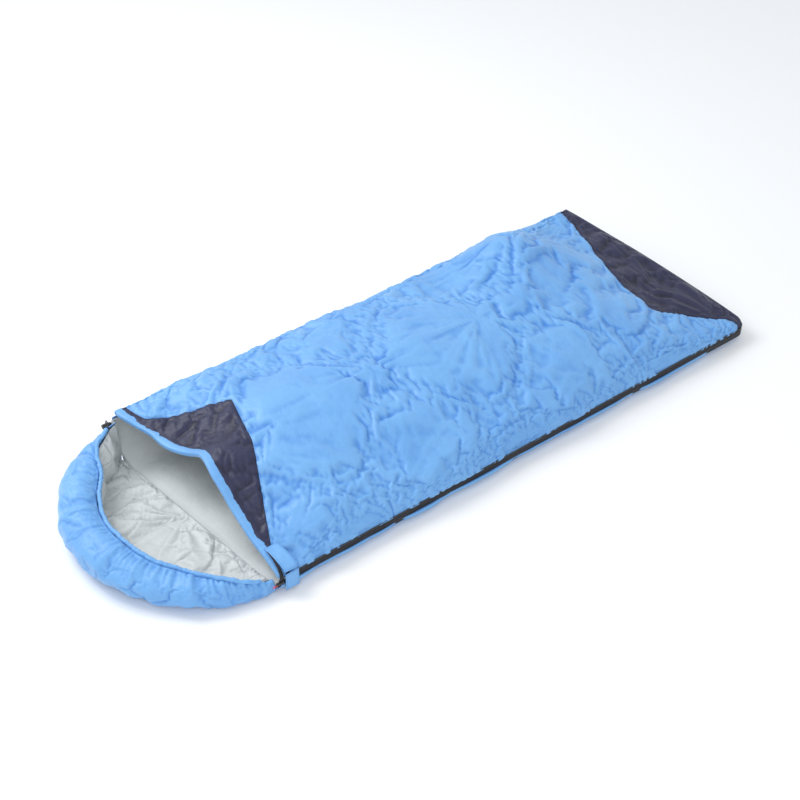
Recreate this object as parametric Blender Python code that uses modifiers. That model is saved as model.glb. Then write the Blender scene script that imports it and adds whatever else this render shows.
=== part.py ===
"""Rectangular sleeping bag with an attached hood, closed, lying on its back.

Metres, +Z up. The origin is the centre of the bag's footprint. +X runs from the hood to the foot, and the zip
runs along the -Y side and across the foot. The two quilts part on one sloping plane, from the zip up to the
fold on the +Y side, so the top quilt opens about that fold.
"""

import math

import bmesh
import bpy
from mathutils import Matrix, Vector

# Driving dimensions of the bag
ZIP_Y, ZIP_Z = -0.366, 0.036
FOLD_Y, FOLD_Z = 0.366, 0.167
FOOT_NEAR_X, FOOT_FAR_X = 1.107, 0.990
SEAM_NEAR_X, SEAM_FAR_X = -0.738, -0.787
WALL_BULGE_Y = 0.3793
CROWN = 0.104

# Quilt layers, from the outside inwards
SHELL = 0.0010
LAYER_GAP = 0.0010
LINING_GAP = 0.0014
LOFT = 0.0180
EDGE_LOFT_SHARE = 0.2
FOLD_LOFT_SHARE = 0.22
FILL_DEPTH = SHELL + LAYER_GAP

# Clearances about the parting plane
FOLD_LIFT = 0.0050
ZIP_LIFT = 0.0100
EDGE_INSET = 0.0014
FOOT_INSET = 0.0030
EDGE_RISE, EDGE_RISE_WIDTH = 0.0080, 0.045
SEAM_GAP = 0.0022

# Zip chain: heights are counted from the parting line
TAPE = 0.0010
COIL_LOW, COIL_HIGH = 0.0012, 0.0032
COIL_WIDTH = 0.0024
TAPE_LOW, TAPE_HIGH = 0.0036, 0.0150
CORNER_RADIUS = 0.035
LOWER_ZIP_START_X, UPPER_ZIP_START_X = -0.738, -0.705
LOWER_ZIP_END_Y, UPPER_ZIP_END_Y = 0.325, 0.288

# Sliders and pulls, in a frame with X along the chain and -Y outwards
HEAD_SLIDER_X = -0.722
FOOT_SLIDER_Y = 0.306
PLATE_LENGTH, PLATE_HALF_HEIGHT = 0.017, 0.0062
PLATE_INNER, PLATE_THICK = 0.0016, 0.0015
POST_HALF = 0.0008
PULL_AXIS_Y = -0.0053
PULL_LENGTH, PULL_WIDTH, PULL_THICK = 0.022, 0.0062, 0.0014

# Tab over the zip's head end
TAB_X0, TAB_X1 = -0.7185, -0.6765
TAB_INNER_Y = -0.3765
TAB_THICK = 0.0018
TAB_TOP_Z, TAB_TIP_Z = 0.068, 0.013

# Hood
HOOD_LENGTH = 0.3370
HOOD_HALF_WIDTH = 0.3615
HOOD_BASE_HALF_WIDTH = 0.326
HOOD_BASE_HEIGHT = 0.0210
CHANNEL_RADIUS = 0.0055
CORD_RADIUS = 0.0014

# Cord lock on the drawcord's hanging end
CORD_X, CORD_Y = -0.8080, 0.3700
CORD_TOP_Z, CORD_END_Z = 0.1600, 0.0560
LOCK_Z = 0.1380
LOCK_RADIUS = 0.0080
LOCK_WALL = 0.0016
CORD_HOLE_RADIUS = 0.0024
PLUNGER_TRAVEL = 0.0040

for old in list(bpy.data.objects):
    bpy.data.objects.remove(old, do_unlink=True)

bag = bpy.data.collections.new("sleeping_bag")
helpers = bpy.data.collections.new("cutters")
bpy.context.scene.collection.children.link(bag)
bpy.context.scene.collection.children.link(helpers)


def material(name, color, roughness, metallic=0.0):
    made = bpy.data.materials.new(name)
    made.use_nodes = True
    shader = made.node_tree.nodes["Principled BSDF"]
    shader.inputs["Base Color"].default_value = (*color, 1.0)
    shader.inputs["Roughness"].default_value = roughness
    shader.inputs["Metallic"].default_value = metallic
    return made


BLUE = material("blue_polyester", (0.13, 0.38, 0.88), 0.45)
NAVY = material("navy_polyester", (0.035, 0.033, 0.075), 0.50)
GREY = material("grey_lining", (0.56, 0.59, 0.60), 0.55)
WADDING = material("hollow_fibre", (0.86, 0.86, 0.84), 0.95)
TAPE_BLACK = material("zip_tape", (0.012, 0.012, 0.016), 0.75)
COIL_BLACK = material("zip_coil", (0.02, 0.02, 0.025), 0.40)
SLIDER_METAL = material("slider_metal", (0.05, 0.05, 0.055), 0.35, 0.9)
RED = material("red_pull", (0.62, 0.05, 0.05), 0.60)
BLACK_PLASTIC = material("black_plastic", (0.02, 0.02, 0.02), 0.40)
CORD = material("cord", (0.03, 0.03, 0.04), 0.80)
STEEL = material("spring_steel", (0.60, 0.60, 0.62), 0.30, 1.0)
HOOK = material("hook_and_loop", (0.05, 0.10, 0.30), 0.90)


def smooth(t):
    t = min(max(t, 0.0), 1.0)
    return t * t * (3.0 - 2.0 * t)


def lerp(a, b, t):
    return a + (b - a) * t


def bell(t, width):
    return math.exp(-0.5 * (t / width) ** 2)


def between(points, t):
    """A smooth-stepped curve through (t, value) points."""
    for (t0, a), (t1, b) in zip(points, points[1:]):
        if t <= t1:
            return lerp(a, b, smooth((t - t0) / (t1 - t0)))
    return points[-1][1]


def straight_between(points, t):
    """Straight runs through (t, value) points."""
    for (t0, a), (t1, b) in zip(points, points[1:]):
        if t <= t1:
            return lerp(a, b, (t - t0) / (t1 - t0))
    return points[-1][1]


def plane_z(y):
    return lerp(ZIP_Z, FOLD_Z, (y - ZIP_Y) / (FOLD_Y - ZIP_Y))


def across(y):
    return (y - ZIP_Y) / (FOLD_Y - ZIP_Y)


FOOT_SLANT = math.atan2(FOOT_NEAR_X - FOOT_FAR_X, FOLD_Y - ZIP_Y)
CORNER_CUT = CORNER_RADIUS * math.tan(0.25 * math.pi + 0.5 * FOOT_SLANT)
CORNER_X, CORNER_Y = FOOT_NEAR_X - CORNER_CUT, ZIP_Y + CORNER_RADIUS


def foot_x(v):
    """The zip line across the foot, with a rounded corner at the near side."""
    rise = lerp(ZIP_Y, FOLD_Y, v) - CORNER_Y
    if rise < CORNER_RADIUS * math.sin(FOOT_SLANT):
        return CORNER_X + math.sqrt(max(CORNER_RADIUS ** 2 - rise ** 2, 0.0))
    return lerp(FOOT_NEAR_X, FOOT_FAR_X, v)


def seam_x(v):
    return lerp(SEAM_NEAR_X, SEAM_FAR_X, v)


NECK_LINE = ((0.0, -0.728), (0.40, -0.724), (0.56, -0.706), (0.78, -0.738), (1.0, -0.778))
BINDING_WIDTH = 0.022
YOKE_LINE = ((0.0, -0.716), (0.10, -0.700), (0.46, -0.571), (0.715, -0.516), (0.925, -0.765), (1.0, -0.790))
YOKE_LEAST_WIDTH = 0.012
FOOT_PANEL_WIDTH = (
    (0.0, 0.015), (0.06, 0.050), (0.23, 0.235), (0.46, 0.210), (0.66, 0.140), (0.88, 0.055), (1.0, 0.025)
)


def neck_x(v):
    """The top quilt's head edge."""
    return between(NECK_LINE, v)


COLUMNS = (("binding", 1), ("yoke", 4), ("main", 15), ("foot", 3))


def panel_edges(v):
    """X of the lines between the top's panels, head to foot."""
    head = neck_x(v)
    binding = head + BINDING_WIDTH
    yoke = max(binding + YOKE_LEAST_WIDTH, straight_between(YOKE_LINE, v))
    end = foot_x(v) - FOOT_INSET
    return [head, binding, yoke, end - straight_between(FOOT_PANEL_WIDTH, v), end]


TOTAL_COLUMNS = sum(count for _, count in COLUMNS)


def column_x(column, v):
    edges = panel_edges(v)
    start = 0
    for index, (_, count) in enumerate(COLUMNS):
        if column <= start + count:
            return lerp(edges[index], edges[index + 1], (column - start) / count)
        start += count
    return edges[-1]


def crown_height(x, y, w):
    """Height of the top quilt's outside over the parting plane."""
    v = across(y)
    along = (x - neck_x(v)) / (foot_x(v) - neck_x(v))
    dome = math.sin(math.pi * w) ** 1.15 if 0.0 < w < 1.0 else 0.0
    head = lerp(lerp(0.030, 0.008, smooth((v - 0.35) / 0.30)), CROWN, smooth(along / 0.14))
    foot = 1.0 - 0.86 * smooth((along - 0.70) / 0.30)
    chest = 0.075 * bell(y + 0.01, 0.095 if y < -0.01 else 0.080) * (1.0 - smooth(along / 0.14))
    feet = 0.085 * bell(x - 0.62, 0.10) * bell(y - 0.24, 0.085)
    side = math.sqrt(math.sin(math.pi * w)) if 0.0 < w < 1.0 else 0.0
    rim = EDGE_RISE * min(1.0, w / EDGE_RISE_WIDTH, (1.0 - w) / EDGE_RISE_WIDTH)
    return rim + (head * foot) * dome + (chest + feet) * side


def zip_lift(along_foot, v):
    """Clearance from the parting plane: wide beside the zip, narrow at the fold."""
    near = 1.0 - smooth(v / 0.2)
    foot = smooth((along_foot - 0.84) / 0.14)
    return lerp(FOLD_LIFT, ZIP_LIFT, max(near, foot))


def top_point(a, b):
    """Outside of the top quilt: a runs head to foot and b from the zip to the fold."""
    w = b - 0.055 * math.sin(2 * math.pi * b)
    v = 0.5 - 0.5 * math.cos(math.pi * w)
    y = lerp(ZIP_Y + EDGE_INSET, FOLD_Y, v)
    x = column_x(a * TOTAL_COLUMNS, across(y))
    return Vector((x, y, plane_z(y) + zip_lift(a, v) + crown_height(x, y, w)))


def edge_share(a, b, head, foot, near, far):
    """Share of the full loft: it thins towards the edges that are named by a share under one."""
    share = lerp(head, 1.0, smooth(a / 0.08))
    share *= lerp(foot, 1.0, smooth((1.0 - a) / 0.14))
    share *= lerp(near, 1.0, smooth(b / 0.16))
    return share * lerp(far, 1.0, smooth((1.0 - b) / 0.28))


def top_share(a, b):
    return edge_share(a, b, 0.35, EDGE_LOFT_SHARE, EDGE_LOFT_SHARE, FOLD_LOFT_SHARE)


def bottom_share(a, b):
    return edge_share(a, b, 1.0, EDGE_LOFT_SHARE, EDGE_LOFT_SHARE, FOLD_LOFT_SHARE)


NEAR_ROUND = 0.13
FLAT_END = 0.60
WALL_START = 0.93
FLOOR_NEAR_Y, FLOOR_FAR_Y = -0.325, 0.265
WALL_TURN_Z = 0.115


def tray_section(b):
    """(y, z) of the bottom quilt's outside, from the zip over the floor and up the folded side."""
    rim_z = ZIP_Z - ZIP_LIFT
    if b < NEAR_ROUND:
        turn = 0.5 * math.pi * b / NEAR_ROUND
        reach = FLOOR_NEAR_Y - (ZIP_Y + EDGE_INSET)
        return FLOOR_NEAR_Y - reach * math.cos(turn), rim_z * (1.0 - math.sin(turn))
    if b < FLAT_END:
        return lerp(FLOOR_NEAR_Y, FLOOR_FAR_Y, (b - NEAR_ROUND) / (FLAT_END - NEAR_ROUND)), 0.0
    if b < WALL_START:
        turn = 0.5 * math.pi * (b - FLAT_END) / (WALL_START - FLAT_END)
        reach = WALL_BULGE_Y - FLOOR_FAR_Y
        return FLOOR_FAR_Y + reach * math.sin(turn), WALL_TURN_Z * (1.0 - math.cos(turn))
    rise = (b - WALL_START) / (1.0 - WALL_START)
    return lerp(WALL_BULGE_Y, FOLD_Y, rise * rise), lerp(WALL_TURN_Z, FOLD_Z - FOLD_LIFT, rise)


def bottom_point(a, b):
    """Outside of the bottom quilt: a runs from the hood's seam to the foot."""
    y, z = tray_section(b)
    lift = smooth((a - 0.88) / 0.12) ** 1.5
    line_y = lerp(ZIP_Y + EDGE_INSET, FOLD_Y, b)
    line_z = plane_z(line_y) - zip_lift(1.0, b)
    y, z = lerp(y, line_y, lift), lerp(z, line_z, lift)
    v = across(y)
    return Vector((lerp(seam_x(v), foot_x(v) - FOOT_INSET, a), y, z))


def add_object(name, mesh, finish, collection=bag):
    mesh.materials.append(finish)
    made = bpy.data.objects.new(name, mesh)
    collection.objects.link(made)
    return made


def grid_mesh(name, point, columns, rows, depths):
    """A grid whose places (0..1, 0..1) are sent through a point function, then moved in by each depth."""
    bm = bmesh.new()
    bmesh.ops.create_grid(bm, x_segments=columns, y_segments=rows, size=0.5)
    places = [(vertex, vertex.co.x + 0.5, vertex.co.y + 0.5) for vertex in bm.verts]
    for vertex, a, b in places:
        vertex.co = point(a, b)
    bmesh.ops.triangulate(bm, faces=bm.faces[:], quad_method="FIXED")
    for depth in depths:
        bm.normal_update()
        moves = [vertex.normal * (depth(a, b) if callable(depth) else depth) for vertex, a, b in places]
        for (vertex, _, _), move in zip(places, moves):
            vertex.co -= move
    mesh = bpy.data.meshes.new(name)
    bm.to_mesh(mesh)
    bm.free()
    return mesh, [(a, b) for _, a, b in places]


def sheet(name, point, columns, rows, thickness, finish, share=None, depths=()):
    """An open mapped grid, thickened away from its outward side."""
    mesh, places = grid_mesh(name, point, columns, rows, depths)
    made = add_object(name, mesh, finish)
    thicken = made.modifiers.new("thickness", "SOLIDIFY")
    thicken.thickness = thickness
    thicken.offset = -1.0
    thicken.use_even_offset = False
    if share:
        group = made.vertex_groups.new(name="loft")
        for index, (a, b) in enumerate(places):
            group.add([index], share(a, b), "REPLACE")
        thicken.vertex_group = "loft"
    return made


def part_of(surface, a0, a1, b0=0.0, b1=1.0):
    return lambda a, b: surface(lerp(a0, a1, a), lerp(b0, b1, b))


def quilt_inside(name, surface, columns, rows, share):
    """The wadding under a quilt's shell, and the lining under the wadding."""
    sheet(f"{name}_fill", surface, columns, rows, LOFT, WADDING, share, (FILL_DEPTH,))
    under = (FILL_DEPTH, lambda a, b: LOFT * share(a, b) + LINING_GAP)
    sheet(f"{name}_lining", surface, columns, rows, SHELL, GREY, None, under)


# Top quilt: four outer panels, the wadding and the lining
TOP_ROWS = 14
PANEL_GAP = 0.006
columns_done = 0
for panel, count in COLUMNS:
    name = {"binding": "neck_binding"}.get(panel, f"top_{panel}_panel")
    a0, a1 = columns_done / TOTAL_COLUMNS, (columns_done + count) / TOTAL_COLUMNS
    gap = PANEL_GAP / count
    head_gap, foot_gap = gap if a0 > 0.0 else 0.0, gap if a1 < 1.0 else 0.0
    inset = part_of(top_point, lerp(a0, a1, head_gap), lerp(a1, a0, foot_gap))
    sheet(name, inset, count, TOP_ROWS, SHELL, BLUE if panel in ("binding", "main") else NAVY)
    columns_done += count
quilt_inside("top", top_point, TOTAL_COLUMNS, TOP_ROWS, top_share)


# Bottom quilt
BOTTOM_COLUMNS, BOTTOM_ROWS = 14, 20


def tray_out(a, b):
    """The bottom quilt with its rows turned round, so that its outside faces down."""
    return bottom_point(a, 1.0 - b)


def tray_share(a, b):
    return bottom_share(a, 1.0 - b)


sheet("bottom_shell", tray_out, BOTTOM_COLUMNS, BOTTOM_ROWS, SHELL, BLUE)
quilt_inside("bottom", tray_out, BOTTOM_COLUMNS, BOTTOM_ROWS, tray_share)


# Hood: t runs round the rim from the zip side over the head end to the fold side
HOOD_TOP = ((0.0, 0.044), (0.16, 0.080), (0.5, 0.122), (0.82, 0.142), (1.0, 0.152))
ROLL_HALF_THICK = ((0.0, 0.0100), (0.28, 0.050), (0.5, 0.055), (0.80, 0.052), (0.92, 0.030), (1.0, 0.0100))
CHANNEL_START, CHANNEL_END = 0.030, 0.965
CHANNEL_TURN, CHANNEL_NEAR_DROP, CHANNEL_FAR_DROP = 97.0, 28.0, 50.0


def rim_point(t, inset, z):
    """A point over the hood's outline, moved in by inset."""
    turn = math.pi * t
    y = -(HOOD_HALF_WIDTH - inset) * math.cos(turn)
    seam = seam_x(across(y)) - SEAM_GAP
    return Vector((seam - (HOOD_LENGTH - inset) * math.sin(turn), y, z))


def base_start(t, z):
    """The point on the hood's straight seam that faces a point of the rim."""
    turn = math.pi * t
    y = -HOOD_BASE_HALF_WIDTH * math.cos(turn)
    return Vector((seam_x(across(y)) - SEAM_GAP, y, z))


def roll_point(t, angle, margin):
    """A point round the padded rim's section: 0 degrees is outwards and 90 up."""
    half = between(ROLL_HALF_THICK, t)
    middle_z = 0.5 * between(HOOD_TOP, t)
    inset = FILL_DEPTH + half - (half + margin) * math.cos(angle)
    height = middle_z - FILL_DEPTH + margin
    return rim_point(t, inset, middle_z + height * math.sin(angle))


BASE_SHARE = 0.30


def channel_angle(t):
    """Where the drawcord's channel lies round the rim's section, in degrees: over its top at both ends."""
    inside = smooth(min(t - CHANNEL_START, CHANNEL_END - t) / 0.22)
    return CHANNEL_TURN + inside * lerp(CHANNEL_NEAR_DROP, CHANNEL_FAR_DROP, smooth((t - 0.3) / 0.4))


def hood_out(a, b):
    """Hood's outside: from the seam along the floor, then round the rim to its inner top."""
    t = 1.0 - a
    floor_end = roll_point(t, math.radians(-90), FILL_DEPTH)
    if b < BASE_SHARE:
        return base_start(t, 0.0).lerp(floor_end, b / BASE_SHARE)
    turn = (b - BASE_SHARE) / (1.0 - BASE_SHARE)
    return roll_point(t, math.radians(lerp(-90, channel_angle(t) - 1, turn)), FILL_DEPTH)


def hood_in(a, b):
    """Hood's lining: from the seam over the base pad, then up the inner side of the rim."""
    t = a
    middle_z = 0.5 * between(HOOD_TOP, t)
    drop = (middle_z - HOOD_BASE_HEIGHT - SHELL) / middle_z
    low = 180.0 + math.degrees(math.asin(min(max(drop, -0.9), 0.9)))
    if b < HOOD_IN_BASE_SHARE:
        foot = roll_point(t, math.radians(low), FILL_DEPTH + SHELL)
        seam = base_start(t, HOOD_BASE_HEIGHT + SHELL)
        return seam.lerp(Vector((foot.x, foot.y, seam.z)), b / HOOD_IN_BASE_SHARE)
    turn = (b - HOOD_IN_BASE_SHARE) / (1.0 - HOOD_IN_BASE_SHARE)
    return roll_point(t, math.radians(lerp(low, channel_angle(t) + 15, turn)), FILL_DEPTH + SHELL)


def hood_base(a, b):
    """Top of the hood's base pad."""
    t = a
    side = roll_point(t, math.radians(180), 0.004)
    end = Vector((side.x, side.y, HOOD_BASE_HEIGHT - LAYER_GAP))
    return base_start(t, end.z).lerp(end, b)


HOOD_COLUMNS = 22
HOOD_IN_BASE_SHARE = 0.5
sheet("hood_shell", hood_out, HOOD_COLUMNS, 12, SHELL, BLUE)
sheet("hood_lining", hood_in, HOOD_COLUMNS, 8, SHELL, GREY)
sheet("hood_base_fill", hood_base, HOOD_COLUMNS, 3, HOOD_BASE_HEIGHT - 2 * FILL_DEPTH, WADDING)


def mapped_sphere(name, point, segments, rings, finish):
    """A closed sausage: a sphere whose height and angle are sent through a point function."""
    bm = bmesh.new()
    bmesh.ops.create_uvsphere(bm, u_segments=segments, v_segments=rings, radius=1.0)
    for vertex in bm.verts:
        polar = math.acos(min(max(vertex.co.z, -1.0), 1.0)) / math.pi
        vertex.co = point(polar, math.atan2(vertex.co.y, vertex.co.x), 1e-6 < polar < 1.0 - 1e-6)
    bmesh.ops.recalc_face_normals(bm, faces=bm.faces[:])
    mesh = bpy.data.meshes.new(name)
    bm.to_mesh(mesh)
    bm.free()
    return add_object(name, mesh, finish)


RIM_FILL_GAP = 0.0040


def rim_fill_point(polar, angle, on_ring):
    t = lerp(0.008, 0.992, polar)
    if on_ring:
        return roll_point(t, angle, -RIM_FILL_GAP)
    return roll_point(t, 0.0, 0.0).lerp(roll_point(t, math.pi, 0.0), 0.5)


mapped_sphere("hood_rim_fill", rim_fill_point, 12, 24, WADDING)


# Drawcord channel, cord and eyelet
CHANNEL_SLIT = math.radians(8)
CHANNEL_GAP = 0.0022


def channel_middle(t):
    return roll_point(t, math.radians(channel_angle(t)), FILL_DEPTH + CHANNEL_GAP + CHANNEL_RADIUS)


def channel_frame(t):
    """Middle of the channel, its direction, and two unit vectors across it."""
    ahead = (channel_middle(t + 1e-3) - channel_middle(t - 1e-3)).normalized()
    side = ahead.cross(Vector((0, 0, 1))).normalized()
    return channel_middle(t), ahead, side, side.cross(ahead).normalized()


def channel_point(a, b):
    middle, _, side, up = channel_frame(lerp(CHANNEL_START, CHANNEL_END, a))
    angle = lerp(2 * math.pi - CHANNEL_SLIT, CHANNEL_SLIT, b) - 0.5 * math.pi
    return middle + (side * math.cos(angle) + up * math.sin(angle)) * CHANNEL_RADIUS


sheet("hood_channel", channel_point, 30, 9, SHELL, BLUE)


def smooth_route(points, count):
    """Points evenly spread along a smooth curve through the route's own points."""
    route = [2 * points[0] - points[1]] + points + [2 * points[-1] - points[-2]]
    found = []
    for k in range(count):
        place = (len(points) - 1) * k / (count - 1)
        i = min(int(place), len(points) - 2)
        t = place - i
        a, b, c, d = route[i:i + 4]
        found.append(0.5 * (2 * b + (c - a) * t + (2 * a - 5 * b + 4 * c - d) * t ** 2
                            + (3 * b - a - 3 * c + d) * t ** 3))
    return found


def tube(name, points, radius, finish, resolution=2, cyclic=False):
    curve = bpy.data.curves.new(name, "CURVE")
    curve.dimensions = "3D"
    curve.bevel_depth = radius
    curve.bevel_resolution = resolution
    curve.use_fill_caps = not cyclic
    spline = curve.splines.new("POLY")
    spline.points.add(len(points) - 1)
    for spot, point in zip(spline.points, points):
        spot.co = (*point, 1.0)
    spline.use_cyclic_u = cyclic
    curve.materials.append(finish)
    made = bpy.data.objects.new(name, curve)
    bag.objects.link(made)
    return made


cord_points = [channel_middle(lerp(CHANNEL_START, CHANNEL_END, k / 44)) for k in range(45)]
tube("hood_drawcord", cord_points, CORD_RADIUS, CORD)

mouth, heading, _, _ = channel_frame(CHANNEL_END)
TAIL_ROUTE = [
    mouth + heading * 0.0006,
    mouth + heading * 0.0060,
    Vector((CORD_X - 0.0015, CORD_Y - 0.0120, CORD_TOP_Z + 0.0010)),
    Vector((CORD_X, CORD_Y - 0.0030, CORD_TOP_Z - 0.0020)),
    Vector((CORD_X, CORD_Y, CORD_TOP_Z - 0.0110)),
    Vector((CORD_X, CORD_Y, LOCK_Z)),
    Vector((CORD_X, CORD_Y, 0.1050)),
    Vector((CORD_X, CORD_Y, 0.0800)),
    Vector((CORD_X, CORD_Y, CORD_END_Z)),
]
tube("drawcord_tail", smooth_route(TAIL_ROUTE, 33), CORD_RADIUS, CORD)


def turned(name, profile, finish, steps=20):
    """A solid turned about Z from (radius, z) points, listed top to bottom down the outer side."""
    mesh = bpy.data.meshes.new(name)
    mesh.from_pydata([(r, 0.0, z) for r, z in profile], [(i, i + 1) for i in range(len(profile) - 1)], [])
    made = add_object(name, mesh, finish)
    screw = made.modifiers.new("turn", "SCREW")
    screw.steps = steps
    screw.render_steps = steps
    screw.use_merge_vertices = True
    screw.merge_threshold = 0.00001
    return made


def placed(obj, location, rotation):
    obj.matrix_world = Matrix.Translation(location) @ rotation.to_4x4()
    return obj


EYELET_BORE, EYELET_RADIUS, EYELET_HALF = 0.0021, 0.0052, 0.0012
eyelet_profile = [
    (EYELET_BORE, EYELET_HALF * 0.5), (EYELET_BORE + 0.0008, EYELET_HALF),
    (EYELET_RADIUS - 0.0008, EYELET_HALF), (EYELET_RADIUS, EYELET_HALF * 0.5),
    (EYELET_RADIUS, -EYELET_HALF * 0.5), (EYELET_RADIUS - 0.0008, -EYELET_HALF),
    (EYELET_BORE + 0.0008, -EYELET_HALF), (EYELET_BORE, -EYELET_HALF * 0.5),
    (EYELET_BORE, EYELET_HALF * 0.5),
]
placed(
    turned("drawcord_eyelet", eyelet_profile, SLIDER_METAL),
    mouth + heading * (EYELET_HALF + 0.0004),
    heading.to_track_quat("Z", "Y").to_matrix(),
)

KNOT_RADIUS = 0.0042
knot_top = CORD_END_Z - 0.0003
knot_profile = []
for angle in (0, 35, 65, 90, 115, 145, 180):
    turn = math.radians(angle)
    reach = KNOT_RADIUS * math.sin(turn) if angle < 180 else 0.0
    knot_profile.append((reach, knot_top - KNOT_RADIUS * (1 - math.cos(turn))))
placed(turned("drawcord_knot", knot_profile, CORD, 14), Vector((CORD_X, CORD_Y, 0.0)), Matrix.Identity(3))


# Zip chain along the near side, round the foot corner and over the foot
CORNER_STATIONS = 10


def chain_path(end_y, start_x):
    """(x, y, outward x, outward y) stations of the zip line, head end first."""
    run = Vector((FOOT_FAR_X - FOOT_NEAR_X, FOLD_Y - ZIP_Y)).normalized()
    centre = Vector((CORNER_X, CORNER_Y))
    stations = [(lerp(start_x, CORNER_X, k / 14), ZIP_Y, 0.0, -1.0) for k in range(14)]
    for k in range(CORNER_STATIONS):
        angle = lerp(-0.5 * math.pi, FOOT_SLANT, k / (CORNER_STATIONS - 1))
        out = Vector((math.cos(angle), math.sin(angle)))
        spot = centre + out * CORNER_RADIUS
        stations.append((spot.x, spot.y, out.x, out.y))
    corner = Vector((FOOT_NEAR_X, ZIP_Y))
    last = corner + run * ((end_y - ZIP_Y) / run.y)
    first = Vector(stations[-1][:2])
    for k in range(1, 8):
        spot = first.lerp(last, k / 7)
        stations.append((spot.x, spot.y, run.y, -run.x))
    return stations


def chain_strip(name, stations, low, high, width, finish):
    """A flat strip standing on the zip line, from low to high above the parting plane."""
    count = len(stations) - 1

    def point(a, b):
        x, y, out_x, out_y = stations[round(a * count)]
        half = 0.5 * width
        return Vector((x + out_x * half, y + out_y * half, plane_z(y) + lerp(low, high, b)))

    return sheet(name, point, count, 1, width, finish)


lower_chain = chain_path(LOWER_ZIP_END_Y, LOWER_ZIP_START_X)
upper_chain = chain_path(UPPER_ZIP_END_Y, UPPER_ZIP_START_X)
chain_strip("upper_zip_tape", upper_chain, TAPE_LOW, TAPE_HIGH, TAPE, TAPE_BLACK)
chain_strip("upper_zip_coil", upper_chain, COIL_LOW, COIL_HIGH, COIL_WIDTH, COIL_BLACK)
chain_strip("lower_zip_tape", lower_chain, -TAPE_HIGH, -TAPE_LOW, TAPE, TAPE_BLACK)
chain_strip("lower_zip_coil", lower_chain, -COIL_HIGH, -COIL_LOW, COIL_WIDTH, COIL_BLACK)


def box(name, low, high, finish, bevel=0.0, collection=bag):
    """A box between two corners, with its edges rounded."""
    bm = bmesh.new()
    bmesh.ops.create_cube(bm, size=1.0)
    low, high = Vector(low), Vector(high)
    for vertex in bm.verts:
        vertex.co = (low + high) * 0.5 + Vector(c * s for c, s in zip(vertex.co, high - low))
    mesh = bpy.data.meshes.new(name)
    bm.to_mesh(mesh)
    bm.free()
    made = add_object(name, mesh, finish, collection)
    if bevel:
        rounding = made.modifiers.new("round", "BEVEL")
        rounding.width = bevel
        rounding.segments = 2
    return made


def cylinder(name, radius, low, high, axis, finish, middle=(0, 0, 0), sides=24, collection=bag):
    """A cylinder along X, Y or Z between two places on that axis."""
    bm = bmesh.new()
    bmesh.ops.create_cone(
        bm, cap_ends=True, segments=sides, radius1=radius, radius2=radius, depth=high - low
    )
    turn = {"X": Matrix.Rotation(math.pi / 2, 4, "Y"), "Y": Matrix.Rotation(math.pi / 2, 4, "X")}
    along = {"X": Vector((1, 0, 0)), "Y": Vector((0, 1, 0)), "Z": Vector((0, 0, 1))}[axis]
    bm.transform(turn.get(axis, Matrix.Identity(4)))
    bm.transform(Matrix.Translation(Vector(middle) + along * 0.5 * (low + high)))
    mesh = bpy.data.meshes.new(name)
    bm.to_mesh(mesh)
    bm.free()
    return add_object(name, mesh, finish, collection)


def joined(target, other, operation):
    """Adds or cuts another object with a Boolean, and hides that object."""
    other.hide_render = True
    other.display_type = "WIRE"
    modifier = target.modifiers.new(operation.lower(), "BOOLEAN")
    modifier.object = other
    modifier.operation = operation
    modifier.solver = "EXACT"
    return target


def slider(name, place):
    """A zip slider: two plates, the post between them and two lugs that hold the pull's pin."""
    half = 0.5 * PLATE_LENGTH
    outer = -PLATE_INNER - PLATE_THICK
    body = box(
        name, (-half, outer, -PLATE_HALF_HEIGHT), (half, -PLATE_INNER, PLATE_HALF_HEIGHT),
        SLIDER_METAL, 0.0005,
    )
    inner = box(
        name + "_inner", (-half, PLATE_INNER, -PLATE_HALF_HEIGHT),
        (half, PLATE_INNER + 0.0011, PLATE_HALF_HEIGHT), SLIDER_METAL, 0.0003, helpers,
    )
    post = box(
        name + "_post", (-0.003, outer + 0.0006, -POST_HALF), (0.003, PLATE_INNER + 0.0005, POST_HALF),
        SLIDER_METAL, 0.0, helpers,
    )
    joined(joined(body, inner, "UNION"), post, "UNION")
    for k, side in enumerate((-1, 1)):
        low, high = sorted((side * 0.0032, side * 0.0050))
        lug = box(
            f"{name}_lug_{k}", (-0.0022, PULL_AXIS_Y - 0.0018, low), (0.0022, outer + 0.0006, high),
            SLIDER_METAL, 0.0, helpers,
        )
        joined(body, lug, "UNION")
        lug.matrix_world = place
    pin = cylinder(
        name + "_pin", 0.0009, -0.0040, 0.0040, "Z", SLIDER_METAL, (0, PULL_AXIS_Y, 0), 16, helpers
    )
    joined(body, pin, "UNION")
    for obj in (body, inner, post, pin):
        obj.matrix_world = place
    return body


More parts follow.
